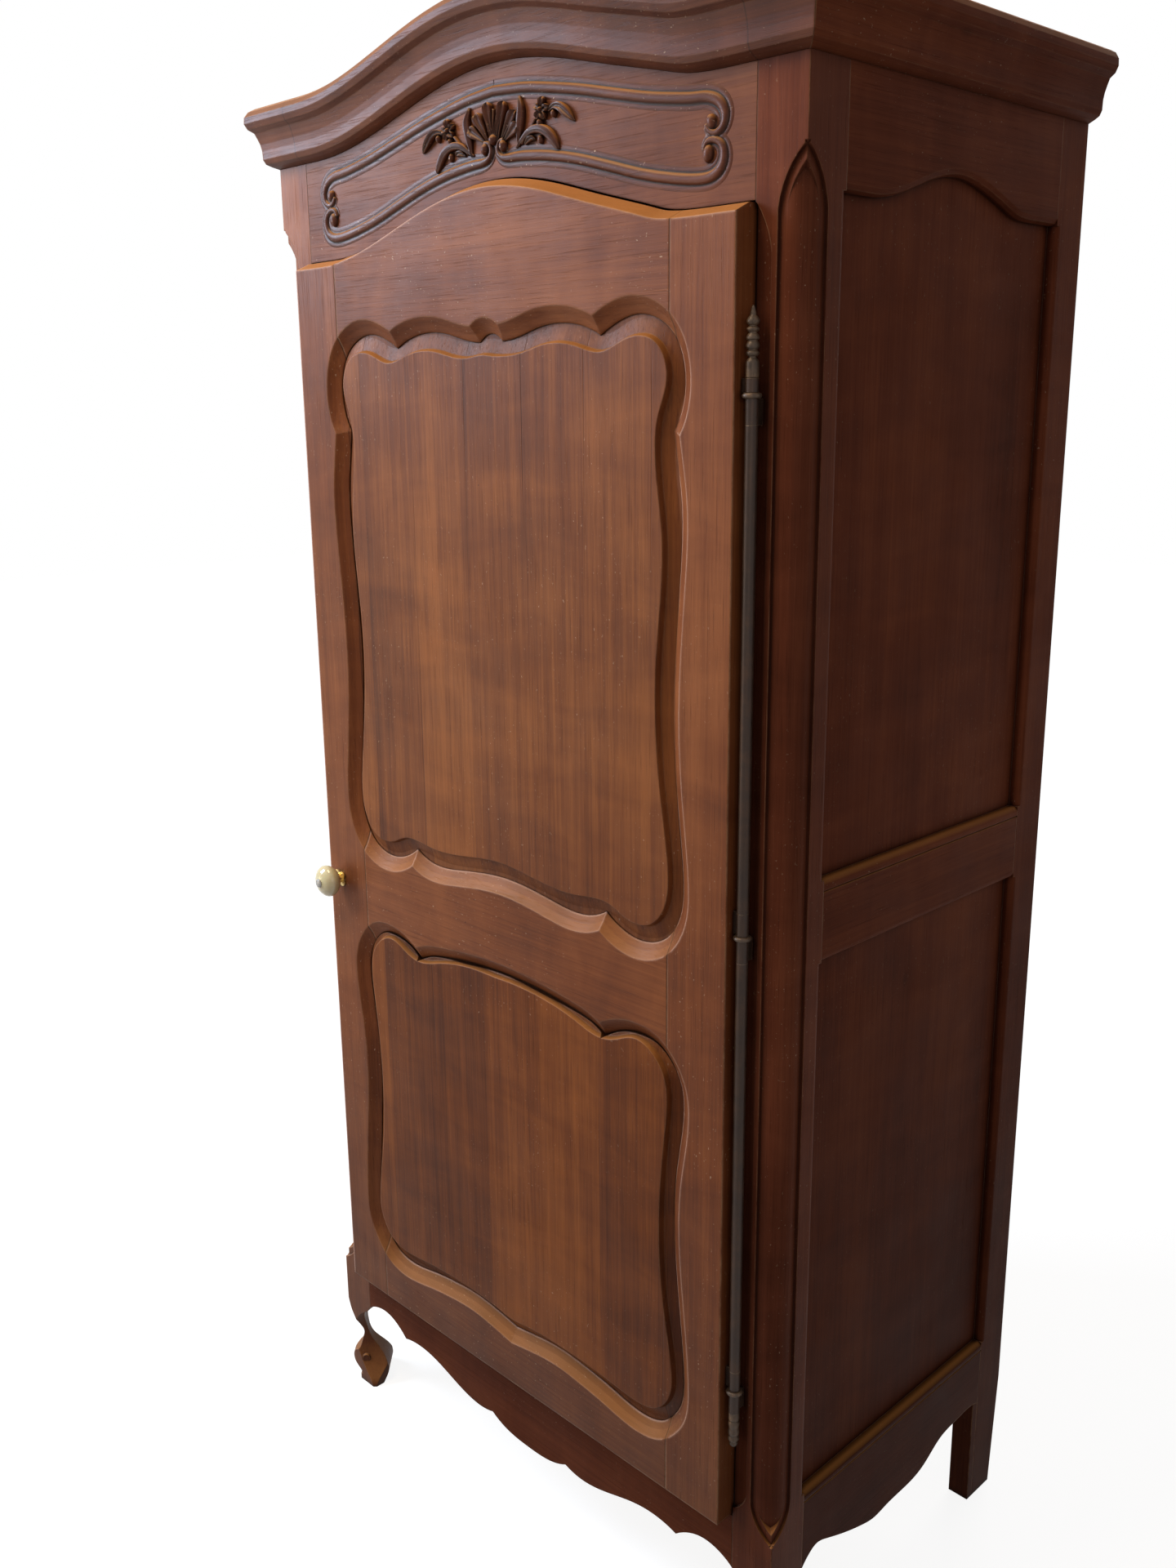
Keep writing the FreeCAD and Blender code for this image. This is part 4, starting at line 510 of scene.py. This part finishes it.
class Carving:
    """Ribbons and domes that stand out from the plane of the frieze, in millimetres, in one mesh."""

    def __init__(self):
        self.verts = []
        self.faces = []
        self.groove_shades = []

    def put(self, x, z, height, groove_shade=0.0):
        self.verts.append((x * MM, FACE - height * MM, z * MM))
        self.groove_shades.append(groove_shade)

    def ribbon(self, points, section, closed_start=True):
        """Sweeps a section of (side, height, painted shade in the groove) along points of (x, z, width,
        height).
        """
        line = rounded(points)
        first = len(self.verts)
        count = len(section)
        for k, (x, z, width, height) in enumerate(line):
            ahead = line[min(k + 1, len(line) - 1)]
            behind = line[max(k - 1, 0)]
            dx, dz = ahead[0] - behind[0], ahead[1] - behind[1]
            size = math.hypot(dx, dz) or 1.0
            nx, nz = -dz / size, dx / size
            for side, level, groove_shade in section:
                tall = level * height if level > 0 else level
                self.put(x + nx * side * width, z + nz * side * width, tall, groove_shade)
        for k in range(len(line) - 1):
            for i in range(count - 1):
                a = first + k * count + i
                self.faces.append((a, a + 1, a + count + 1, a + count))
        start = [first + i for i in range(count)]
        end = [first + (len(line) - 1) * count + i for i in range(count)]
        if closed_start:
            self.faces.append(start)
        self.faces.append(end[::-1])

    def dome(self, x, z, across, along, height, turn=0.0, crease_shade=0.0):
        """Flattened dome; crease_shade is how dark the painted shade in the line round its foot is."""
        centre = len(self.verts)
        self.put(x, z, height)
        c, s = math.cos(math.radians(turn)), math.sin(math.radians(turn))
        for r in range(1, DOME_RINGS + 1):
            share = r / DOME_RINGS
            at_foot = r == DOME_RINGS
            level = height * math.sqrt(max(1 - share ** 2, 0.0)) - (1.0 if at_foot else 0.0)
            for k in range(DOME_SIDES):
                angle = 2 * math.pi * k / DOME_SIDES
                u, w = across * share * math.cos(angle), along * share * math.sin(angle)
                self.put(x + u * c - w * s, z + u * s + w * c, level, crease_shade if at_foot else 0.0)
        for k in range(DOME_SIDES):
            n = (k + 1) % DOME_SIDES
            self.faces.append((centre, centre + 1 + n, centre + 1 + k))
            for r in range(DOME_RINGS - 1):
                a = centre + 1 + r * DOME_SIDES
                self.faces.append((a + k, a + n, a + DOME_SIDES + n, a + DOME_SIDES + k))

    def object(self, name):
        data = bpy.data.meshes.new(name)
        data.from_pydata(self.verts, [], self.faces)
        data.validate()
        # painted shade of the cut lines, kept for the carving's material
        layer = data.attributes.new("groove_shade", "FLOAT", "POINT")
        for k, value in enumerate(self.groove_shades):
            layer.data[k].value = value
        return placed(name, data)


# sections: (side from -1 to 1, share of the height, painted shade in the groove), with negative heights sunk
# into the frieze
BEAD = [(-1.0, -0.3, 0.0), (-0.88, 0.10, 0.0), (-0.72, 0.18, 0.0), (-0.62, 0.18, 0.1), (-0.55, 0.08, 1.0),
        (-0.43, 0.08, 1.0), (-0.35, 0.60, 0.1), (-0.20, 0.92, 0.0), (0.0, 1.0, 0.0), (0.20, 0.92, 0.0),
        (0.35, 0.60, 0.1), (0.42, 0.08, 1.0), (0.50, 0.08, 1.0), (0.57, 0.18, 0.1), (0.72, 0.16, 0.0),
        (0.88, 0.10, 0.0), (1.0, -0.3, 0.0)]
CUP = [(-1.0, -0.8, 0.6), (-0.92, 0.70, 0.0), (-0.72, 1.0, 0.0), (-0.38, 0.62, 0.1), (0.0, 0.42, 0.3),
       (0.38, 0.62, 0.1), (0.72, 1.0, 0.0), (0.92, 0.70, 0.0), (1.0, -0.8, 0.6)]
LEAF = [(-1.0, -0.8, 0.6), (-0.90, 0.55, 0.0), (-0.62, 0.80, 0.0), (-0.22, 0.62, 0.15), (0.0, 1.0, 0.0),
        (0.22, 0.62, 0.15), (0.62, 0.80, 0.0), (0.90, 0.55, 0.0), (1.0, -0.8, 0.6)]
STEM = [(-1.0, -0.8, 0.5), (-0.7, 0.6, 0.0), (0.0, 1.0, 0.0), (0.7, 0.6, 0.0), (1.0, -0.8, 0.5)]

# right half of the carved frame, as (x, z) in millimetres: the upper bead runs from the middle to its outer
# scroll, the lower one from its outer scroll back to the scroll beside the shell
TOP_LINE = [(0, 2069), (53, 2065), (103, 2057), (150, 2048), (202, 2036), (260, 2023), (315, 2014),
            (345, 2011), (362, 2004), (370, 1992), (368, 1980), (359, 1974), (350, 1976), (344, 1983)]
LOW_LINE = [(341, 1958), (346, 1966), (357, 1967), (367, 1960), (369, 1947), (361, 1935), (342, 1930),
            (304, 1934), (250, 1945), (200, 1959), (145, 1974), (94, 1984), (50, 1989), (22, 1990),
            (10, 1994), (6, 2002), (10, 2010), (18, 2012)]
BEAD_WIDTH = 14.0              # half the width of the whole moulding, in millimetres as all that follows
BEAD_HEIGHT = 3.6
OUTER_SCROLL = (13.0, 11.0, 9.5, 8.0, 6.0)   # half widths of the bead as it curls in
INNER_SCROLL = (12.0, 9.5, 8.0, 7.0, 5.0)
INNER_SCROLL_RISE = 1.0
# (x, z, half width, half height, thickness, turn in degrees, painted shade in the crease round its foot) of
# the drop in each scroll
SCROLL_DROPS = ((352, 1985.5, 6.5, 8.5, 6.0, 18, 0.8), (348, 1954, 7.0, 10.0, 6.5, -8, 0.8),
                (17, 2004, 6.5, 8.0, 8.0, 10, 0.8))


def mirrored(points, side):
    return [(side * p[0], *p[1:]) for p in points]


def add_drops(carving, drops, side):
    for x, z, across, along, height, turn, crease_shade in drops:
        carving.dome(side * x, z, across, along, height, side * turn, crease_shade)


def bead_line(line, start=(), end=(), rise=0.0):
    """Points of a bead with the widths given at its start and end; the end stands higher by rise."""
    points = [(x, z, BEAD_WIDTH, BEAD_HEIGHT) for x, z in line]
    for k, width in enumerate(start):
        points[k] = (*line[k], width, BEAD_HEIGHT)
    for k, width in enumerate(end, len(line) - len(end)):
        points[k] = (*line[k], width, BEAD_HEIGHT + rise)
    return points


def carved_frame():
    carving = Carving()
    top = bead_line(TOP_LINE, end=OUTER_SCROLL)
    low = bead_line(LOW_LINE, start=OUTER_SCROLL[::-1], end=INNER_SCROLL, rise=INNER_SCROLL_RISE)
    for side in (-1, 1):
        carving.ribbon(mirrored(top, side), BEAD, closed_start=False)
        carving.ribbon(mirrored(low, side), BEAD)
        add_drops(carving, SCROLL_DROPS, side)
    return carving.object("carved_frame")


# the lobes of the shell, as (x, z) of root and tip in millimetres, and how far each bows sideways
LOBES = ((-5, 2012, -9, 2056, -3.0), (6, 2012, 19, 2053, 3.0), (-12, 2012, -29, 2046, -7.0),
         (14, 2012, 38, 2040, 8.0), (-17, 2012, -42, 2030, -5.0), (19, 2010, 44, 2024, 5.0))
# (share of the length, half width, height) along a lobe
LOBE_SWELL = ((0.0, 1.6, 3.0), (0.25, 3.2, 5.0), (0.5, 5.2, 6.5), (0.72, 7.4, 8.0), (0.88, 7.6, 8.6),
              (0.97, 5.0, 8.0), (1.02, 1.2, 5.0))
BOW_SHARE = 0.4
RAY_ROOT = (2, 2010)
RAY_ANGLES = (78, 92, 104, 63, 118)
RAY = ((8, 1.0, 5.0), (22, 1.3, 6.5), (38, 0.8, 5.0))     # (distance, half width, height)
# the spray on the right of the shell: lines of (x, z, half width, height)
UPRIGHT_LEAF = [(44, 1999, 1.5, 3.0), (46, 2012, 4.0, 6.0), (49, 2027, 6.2, 8.0), (51, 2040, 5.5, 8.0),
                (49, 2051, 2.6, 6.0), (47, 2056, 0.6, 3.0)]
FLOWER_STEM = [(50, 2002, 1.4, 3.0), (64, 2014, 2.2, 4.5), (76, 2026, 2.0, 5.0)]
ARCHED_LEAF = [(40, 1999, 1.2, 3.0), (52, 2007, 3.0, 5.5), (66, 2014, 4.6, 7.5), (82, 2015, 5.4, 8.5),
               (97, 2009, 6.2, 8.0), (107, 1999, 6.0, 6.5), (113, 1991, 3.6, 4.5), (115, 1988, 0.8, 2.0)]
LOW_BUD = [(56, 2001, 1.2, 3.0), (63, 2005, 3.4, 5.5), (70, 2006, 3.0, 5.5), (74, 2003, 0.8, 3.0)]
SPRIG = [(98, 2033, 1.6, 3.5), (108, 2036, 3.2, 5.5), (119, 2034, 5.2, 7.5), (129, 2027, 5.6, 7.0),
         (137, 2020, 3.6, 5.0), (142, 2015, 0.8, 2.0)]
FLOWER = (87, 2035)
PETALS = ((80, 13.5), (152, 11.5), (224, 11.5), (296, 11.5), (8, 11.5))   # turn in degrees, reach
# drops, as in the frame's scrolls: the shell's root, then the berry, flower's eye, bud and outer bud
SHELL_ROOT = (0, 2013, 8.0, 7.0, 9.5, 0, 0.5)
SPRAY_DROPS = ((84, 2003, 4.6, 6.0, 5.5, 12, 0.7), (*FLOWER, 3.6, 3.6, 9.0, 0, 0.6),
               (84, 2021.5, 4.6, 4.6, 7.0, 0, 0.6), (108, 2028, 4.0, 5.2, 6.5, 0, 0.6))
LEFT_TIP = 0.96                # the left leaf leans in a little more than the right one


def shell_lobe(x0, z0, x1, z1, bow):
    """Hollowed lobe from its root to its tip, bowed sideways."""
    points = []
    for share, width, height in LOBE_SWELL:
        away = math.sin(share * math.pi / 2) ** 2
        x = x0 + (x1 - x0) * share + bow * away * share * BOW_SHARE
        points.append((x, z0 + (z1 - z0) * share, width, height))
    return points


def outwards(centre, turn, steps):
    """Line from a centre in one direction, through steps of (distance, half width, height)."""
    c, s = math.cos(math.radians(turn)), math.sin(math.radians(turn))
    return [(centre[0] + away * c, centre[1] + away * s, width, height) for away, width, height in steps]


def petal(turn, reach):
    return outwards(FLOWER, turn, ((2.5, 1.6, 4.0), (0.45 * reach, 3.9, 7.0), (0.8 * reach, 4.4, 7.5),
                                   (reach, 2.4, 5.5), (1.07 * reach, 0.6, 2.5)))


def carved_shell():
    carving = Carving()
    for lobe in LOBES:
        carving.ribbon(shell_lobe(*lobe), CUP)
    for angle in RAY_ANGLES:
        carving.ribbon(outwards(RAY_ROOT, angle, RAY), STEM)
    add_drops(carving, [SHELL_ROOT], 1)
    for side in (-1, 1):
        leaf = list(UPRIGHT_LEAF)
        if side < 0:
            x, z, width, height = leaf[-2]
            leaf[-2] = (x * LEFT_TIP, z, width, height)
        carving.ribbon(mirrored(leaf, side), LEAF)
        carving.ribbon(mirrored(FLOWER_STEM, side), STEM)
        carving.ribbon(mirrored(ARCHED_LEAF, side), LEAF)
        carving.ribbon(mirrored(LOW_BUD, side), CUP)
        for turn, reach in PETALS:
            carving.ribbon(mirrored(petal(turn, reach), side), CUP)
        carving.ribbon(mirrored(SPRIG, side), CUP)
        add_drops(carving, SPRAY_DROPS, side)
    return carving.object("carved_shell")


# ---------------------------------------------------------------- turned pieces
def lathe(name, profile, centre, upward=True, around=48):
    """Turned piece from (radius, place along the axis) points; the axis is Z, or Y where not upward."""
    verts, faces = [], []
    for radius, along in profile:
        for k in range(around):
            angle = 2 * math.pi * k / around
            u, w = radius * math.cos(angle), radius * math.sin(angle)
            if upward:
                verts.append((centre[0] + u, centre[1] + w, along))
            else:
                verts.append((centre[0] + u, along, centre[1] + w))
    for r in range(len(profile) - 1):
        for k in range(around):
            n = (k + 1) % around
            faces.append((r * around + k, r * around + n, (r + 1) * around + n, (r + 1) * around + k))
    faces.append(tuple(range(around)))
    faces.append(tuple(range((len(profile) - 1) * around, len(profile) * around)))
    data = bpy.data.meshes.new(name)
    data.from_pydata(verts, [], faces)
    return placed(name, data)


def beads(turns, steps=5):
    """Rounds the steps between necks and beads: full at the bead, sharp in the neck."""
    out = []
    for (r0, z0), (r1, z1) in zip(turns, turns[1:]):
        for n in range(steps):
            u = n / steps
            if r1 >= r0:
                out.append((r0 + (r1 - r0) * math.sin(u * math.pi / 2), z0 + (z1 - z0) * u))
            else:
                out.append((r1 + (r0 - r1) * math.cos(u * math.pi / 2), z0 + (z1 - z0) * u))
    out.append(turns[-1])
    return out


def domed(radius, height, face, steps):
    """Profile of a round head that stands out from the plane y = face; its tip is a tiny flat."""
    tip = 0.01 * MM
    angles = [math.pi / 2 * k / steps for k in range(steps + 1)]
    return [(radius * math.sin(angle) + tip, face - height * math.cos(angle)) for angle in angles]


def middle(low, high):
    return [(a + b) / 2 for a, b in zip(low, high)]


ROD = 7.3 * MM                 # radius of the hinge column
ROD_END = 0.94 * ROD           # radius of the eased ends of the turned pieces
EASE = 1.0 * MM                # height of that easing
SPIRE = 62.0 * MM              # height of the turned part of the top finial
FOOT_TURNING = 44.0 * MM       # and of the bottom finial
# (share of the rod's radius, share of the turning's height) of each neck and bead
TOP_TURNS = ((0.08, 1.0), (0.33, 0.92), (0.46, 0.835), (0.97, 0.734), (0.50, 0.655), (0.95, 0.61),
             (0.55, 0.55), (0.99, 0.453), (0.66, 0.417), (1.0, 0.324), (0.62, 0.26), (0.97, 0.209),
             (0.5, 0.144), (1.0, 0.043))
FOOT_TURNS = ((0.36, 0.0), (0.78, 0.1), (0.68, 0.19), (1.0, 0.27), (0.76, 0.39), (1.0, 0.48), (0.86, 0.64),
              (1.0, 0.81), (0.76, 0.9), (1.0, 0.97))

RING_LEVELS = (1.702, 1.0815, 0.457)
RING_REACH = 11.0 * MM         # outer radius of a ring
RING_HALF = 3.0 * MM           # half its height, and the radius of its rounded rim
RING_SHOULDER = 7.8 * MM       # where its flat sides begin
RING_BORE = 4.5 * MM
RIM_STEPS = 12


def ring_profile(level):
    """Closed rim of a ring, from its bore below, round the outside, to its bore above."""
    profile = [(RING_BORE, level - RING_HALF), (RING_SHOULDER, level - RING_HALF)]
    for k in range(RIM_STEPS + 1):
        angle = math.pi * (k / RIM_STEPS - 0.5)
        radius = RING_REACH - RING_HALF + RING_HALF * math.cos(angle)
        profile.append((radius, level + RING_HALF * math.sin(angle)))
    return profile + [(RING_SHOULDER, level + RING_HALF), (RING_BORE, level + RING_HALF)]


def hinge_turnings():
    low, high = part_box("hinge_top_finial")
    centre = middle(low, high)[:2]
    turns = [(r * ROD, high[2] - SPIRE + share * SPIRE) for r, share in TOP_TURNS]
    finial = lathe("turned_top_finial", beads(turns) + [(ROD, low[2] + EASE), (ROD_END, low[2])], centre)
    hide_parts("hinge_top_finial")
    low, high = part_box("hinge_bottom_finial")
    turns = [(r * ROD, low[2] + share * FOOT_TURNING) for r, share in FOOT_TURNS]
    foot = lathe("turned_bottom_finial", beads(turns) + [(ROD, high[2] - EASE), (ROD_END, high[2])], centre)
    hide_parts("hinge_bottom_finial")
    rings = [lathe(f"hinge_ring_{round(level * 1000)}", ring_profile(level), centre) for level in RING_LEVELS]
    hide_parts("hinge_rings")
    for piece in [finial, foot] + rings:
        piece.data.materials.append(materials["worn_iron"])
        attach(piece, "cabinet")


KNOB_RADIUS = 25.0 * MM
# (share of the length from the door, share of the radius)
KNOB_SHAPE = ((0.0, 0.37), (0.2, 0.78), (0.44, 1.0), (0.66, 0.97), (0.87, 0.68), (1.0, 0.28))
KNOB_STEPS = 8
NOSE_FLARE = 1.35              # the nose's foot against the radius of its screw
NOSE_STEPS = 8
ROSETTE_THICKNESS = 3.0 * MM
NAIL_COUNT = 4
NAIL_CIRCLE = 10.5 * MM        # radius on which the nails stand
NAIL_RADIUS = 1.7 * MM
NAIL_HEIGHT = 0.9 * MM
NAIL_STEPS = 5


def knob_pieces():
    low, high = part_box("porcelain_knob")
    x, _, z = middle(low, high)
    length = high[1] - low[1]
    profile = rounded([(r * KNOB_RADIUS, high[1] - share * length) for share, r in KNOB_SHAPE], KNOB_STEPS)
    widest = max(r for r, _ in profile)
    profile = [(r * KNOB_RADIUS / widest, y) for r, y in profile]
    knob = lathe("glazed_knob", profile, (x, z), upward=False, around=64)
    knob.data.materials.append(materials["porcelain"])
    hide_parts("porcelain_knob")
    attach(knob, "knob")

    tip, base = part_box("knob_nose_screw")
    foot_radius = (base[0] - tip[0]) / 2 * NOSE_FLARE
    outline = domed(foot_radius, base[1] - tip[1], base[1], NOSE_STEPS)
    nose = lathe("knob_nose", outline, (x, z), upward=False, around=40)
    nose.data.materials.append(materials["steel"])
    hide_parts("knob_nose_screw")
    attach(nose, "knob")

    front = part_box("knob_rosette")[1][1] - ROSETTE_THICKNESS
    head = domed(NAIL_RADIUS, NAIL_HEIGHT, front, NAIL_STEPS)
    for k in range(NAIL_COUNT):
        angle = 2 * math.pi * (k + 0.5) / NAIL_COUNT
        spot = (x + NAIL_CIRCLE * math.cos(angle), z + NAIL_CIRCLE * math.sin(angle))
        nail = lathe(f"rosette_nail_{k + 1}", head, spot, upward=False, around=16)
        nail.data.materials.append(materials["brass"])
        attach(nail, "door")


for carved in (carved_frame(), carved_shell()):
    carved.data.materials.append(materials["carving"])
    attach(carved, "cabinet")
hinge_turnings()
knob_pieces()


# ---------------------------------------------------------------- floor, light, camera
FLOOR_HALF = 14.0
FLOOR_DROP = 0.0005            # keeps the floor just clear of the feet
FLOOR_GREY = (0.26, 0.26, 0.26, 1.0)
FLOOR_GLOW = 0.88              # what the camera sees beside the lamps' light, near the cupboard
GLOW_NEAR = 1.4                # from here on the glow rises,
GLOW_FAR = 4.5                 # and here it is full
WORLD_LIGHT = 0.17

# name, place, target, size, watts, colour
LAMPS = (
    ("key_left", (-2.5, -1.85, 2.7), (-0.3, -0.25, 1.6), (1.0, 1.3), 104.0, (0.68, 0.80, 1.0)),
    ("overhead", (-0.6, -1.5, 3.8), (0.0, -0.2, 1.2), (1.3, 1.0), 50.0, (1.0, 0.78, 0.52)),
    ("low_left", (-2.4, -2.6, 0.9), (0.0, -0.25, 0.7), (1.4, 1.2), 24.0, (1.0, 0.82, 0.62)),
    ("side_right", (2.3, -2.2, 1.9), (0.3, -0.1, 1.3), (1.4, 1.4), 11.0, (1.0, 0.82, 0.74)),
    ("behind", (-0.6, 4.2, 2.6), (0.0, 0.3, 1.0), (2.4, 2.0), 60.0, (1.0, 0.95, 0.90)),
)

# the photograph's viewpoint, from its perspective
CAMERA_PLACE = (1.43099, -1.50380, 1.68507)
CAMERA_RIGHT = Vector((0.70055, 0.71352, -0.01076))
CAMERA_DOWN = Vector((0.17258, -0.18403, -0.96765))
CAMERA_AHEAD = Vector((-0.69242, 0.67603, -0.25206))
LENS = 43.5                    # in millimetres, as the sensor's width
SENSOR = 36.0
CLIP_START = 0.05


def backdrop_ray(t):
    """1 for the rays that show the white backdrop: seen, or mirrored in gloss, or through glass."""
    path = t.add("LightPath")
    seen = t.math("MAXIMUM", path.outputs["Is Camera Ray"], path.outputs["Is Glossy Ray"])
    return t.math("MAXIMUM", seen, path.outputs["Is Transmission Ray"])


def floor():
    data = bpy.data.meshes.new("floor")
    corners = [(-FLOOR_HALF, -FLOOR_HALF), (FLOOR_HALF, -FLOOR_HALF), (FLOOR_HALF, FLOOR_HALF),
               (-FLOOR_HALF, FLOOR_HALF)]
    data.from_pydata([(x, y, -FLOOR_DROP) for x, y in corners], [], [(0, 1, 2, 3)])
    obj = bpy.data.objects.new("floor", data)
    bpy.context.scene.collection.objects.link(obj)
    t = Tree(bpy.data.materials.new("floor"))
    away = t.add("VectorMath", {0: t.place()}, operation="LENGTH").outputs["Value"]
    body = t.add("BsdfDiffuse", {"Color": FLOOR_GREY})
    strength = t.spread(away, GLOW_NEAR, GLOW_FAR, FLOOR_GLOW, 1.0)
    glow = t.add("Emission", {"Color": WHITE, "Strength": strength})
    both = t.add("AddShader", {0: body.outputs[0], 1: glow.outputs[0]})
    shown = t.add("MixShader", {0: backdrop_ray(t), 1: body.outputs[0], 2: both.outputs[0]})
    obj.data.materials.append(t.finish(shown))


def world():
    sky = bpy.data.worlds.new("world")
    bpy.context.scene.world = sky
    t = Tree(sky, "OutputWorld")
    soft = t.add("Background", {"Color": WHITE, "Strength": WORLD_LIGHT})
    white = t.add("Background", {"Color": WHITE, "Strength": 1.0})
    t.finish(t.add("MixShader", {0: backdrop_ray(t), 1: soft.outputs[0], 2: white.outputs[0]}))


def area(name, place, target, size, power, colour):
    data = bpy.data.lights.new(name, "AREA")
    data.shape = "RECTANGLE"
    data.size, data.size_y = size
    data.energy = power
    data.color = colour
    obj = bpy.data.objects.new(name, data)
    bpy.context.scene.collection.objects.link(obj)
    obj.location = place
    obj.rotation_euler = (Vector(target) - Vector(place)).to_track_quat("-Z", "Y").to_euler()


def camera():
    data = bpy.data.cameras.new("camera")
    data.sensor_fit = "HORIZONTAL"
    data.sensor_width = SENSOR
    data.lens = LENS
    data.clip_start = CLIP_START
    obj = bpy.data.objects.new("camera", data)
    bpy.context.scene.collection.objects.link(obj)
    turn = Matrix((CAMERA_RIGHT, -CAMERA_DOWN, -CAMERA_AHEAD)).transposed().to_4x4()
    obj.matrix_world = Matrix.Translation(CAMERA_PLACE) @ turn
    bpy.context.scene.camera = obj


floor()
world()
for lamp in LAMPS:
    area(*lamp)
camera()
bpy.context.scene.view_settings.view_transform = "Standard"

bpy.context.view_layer.update()
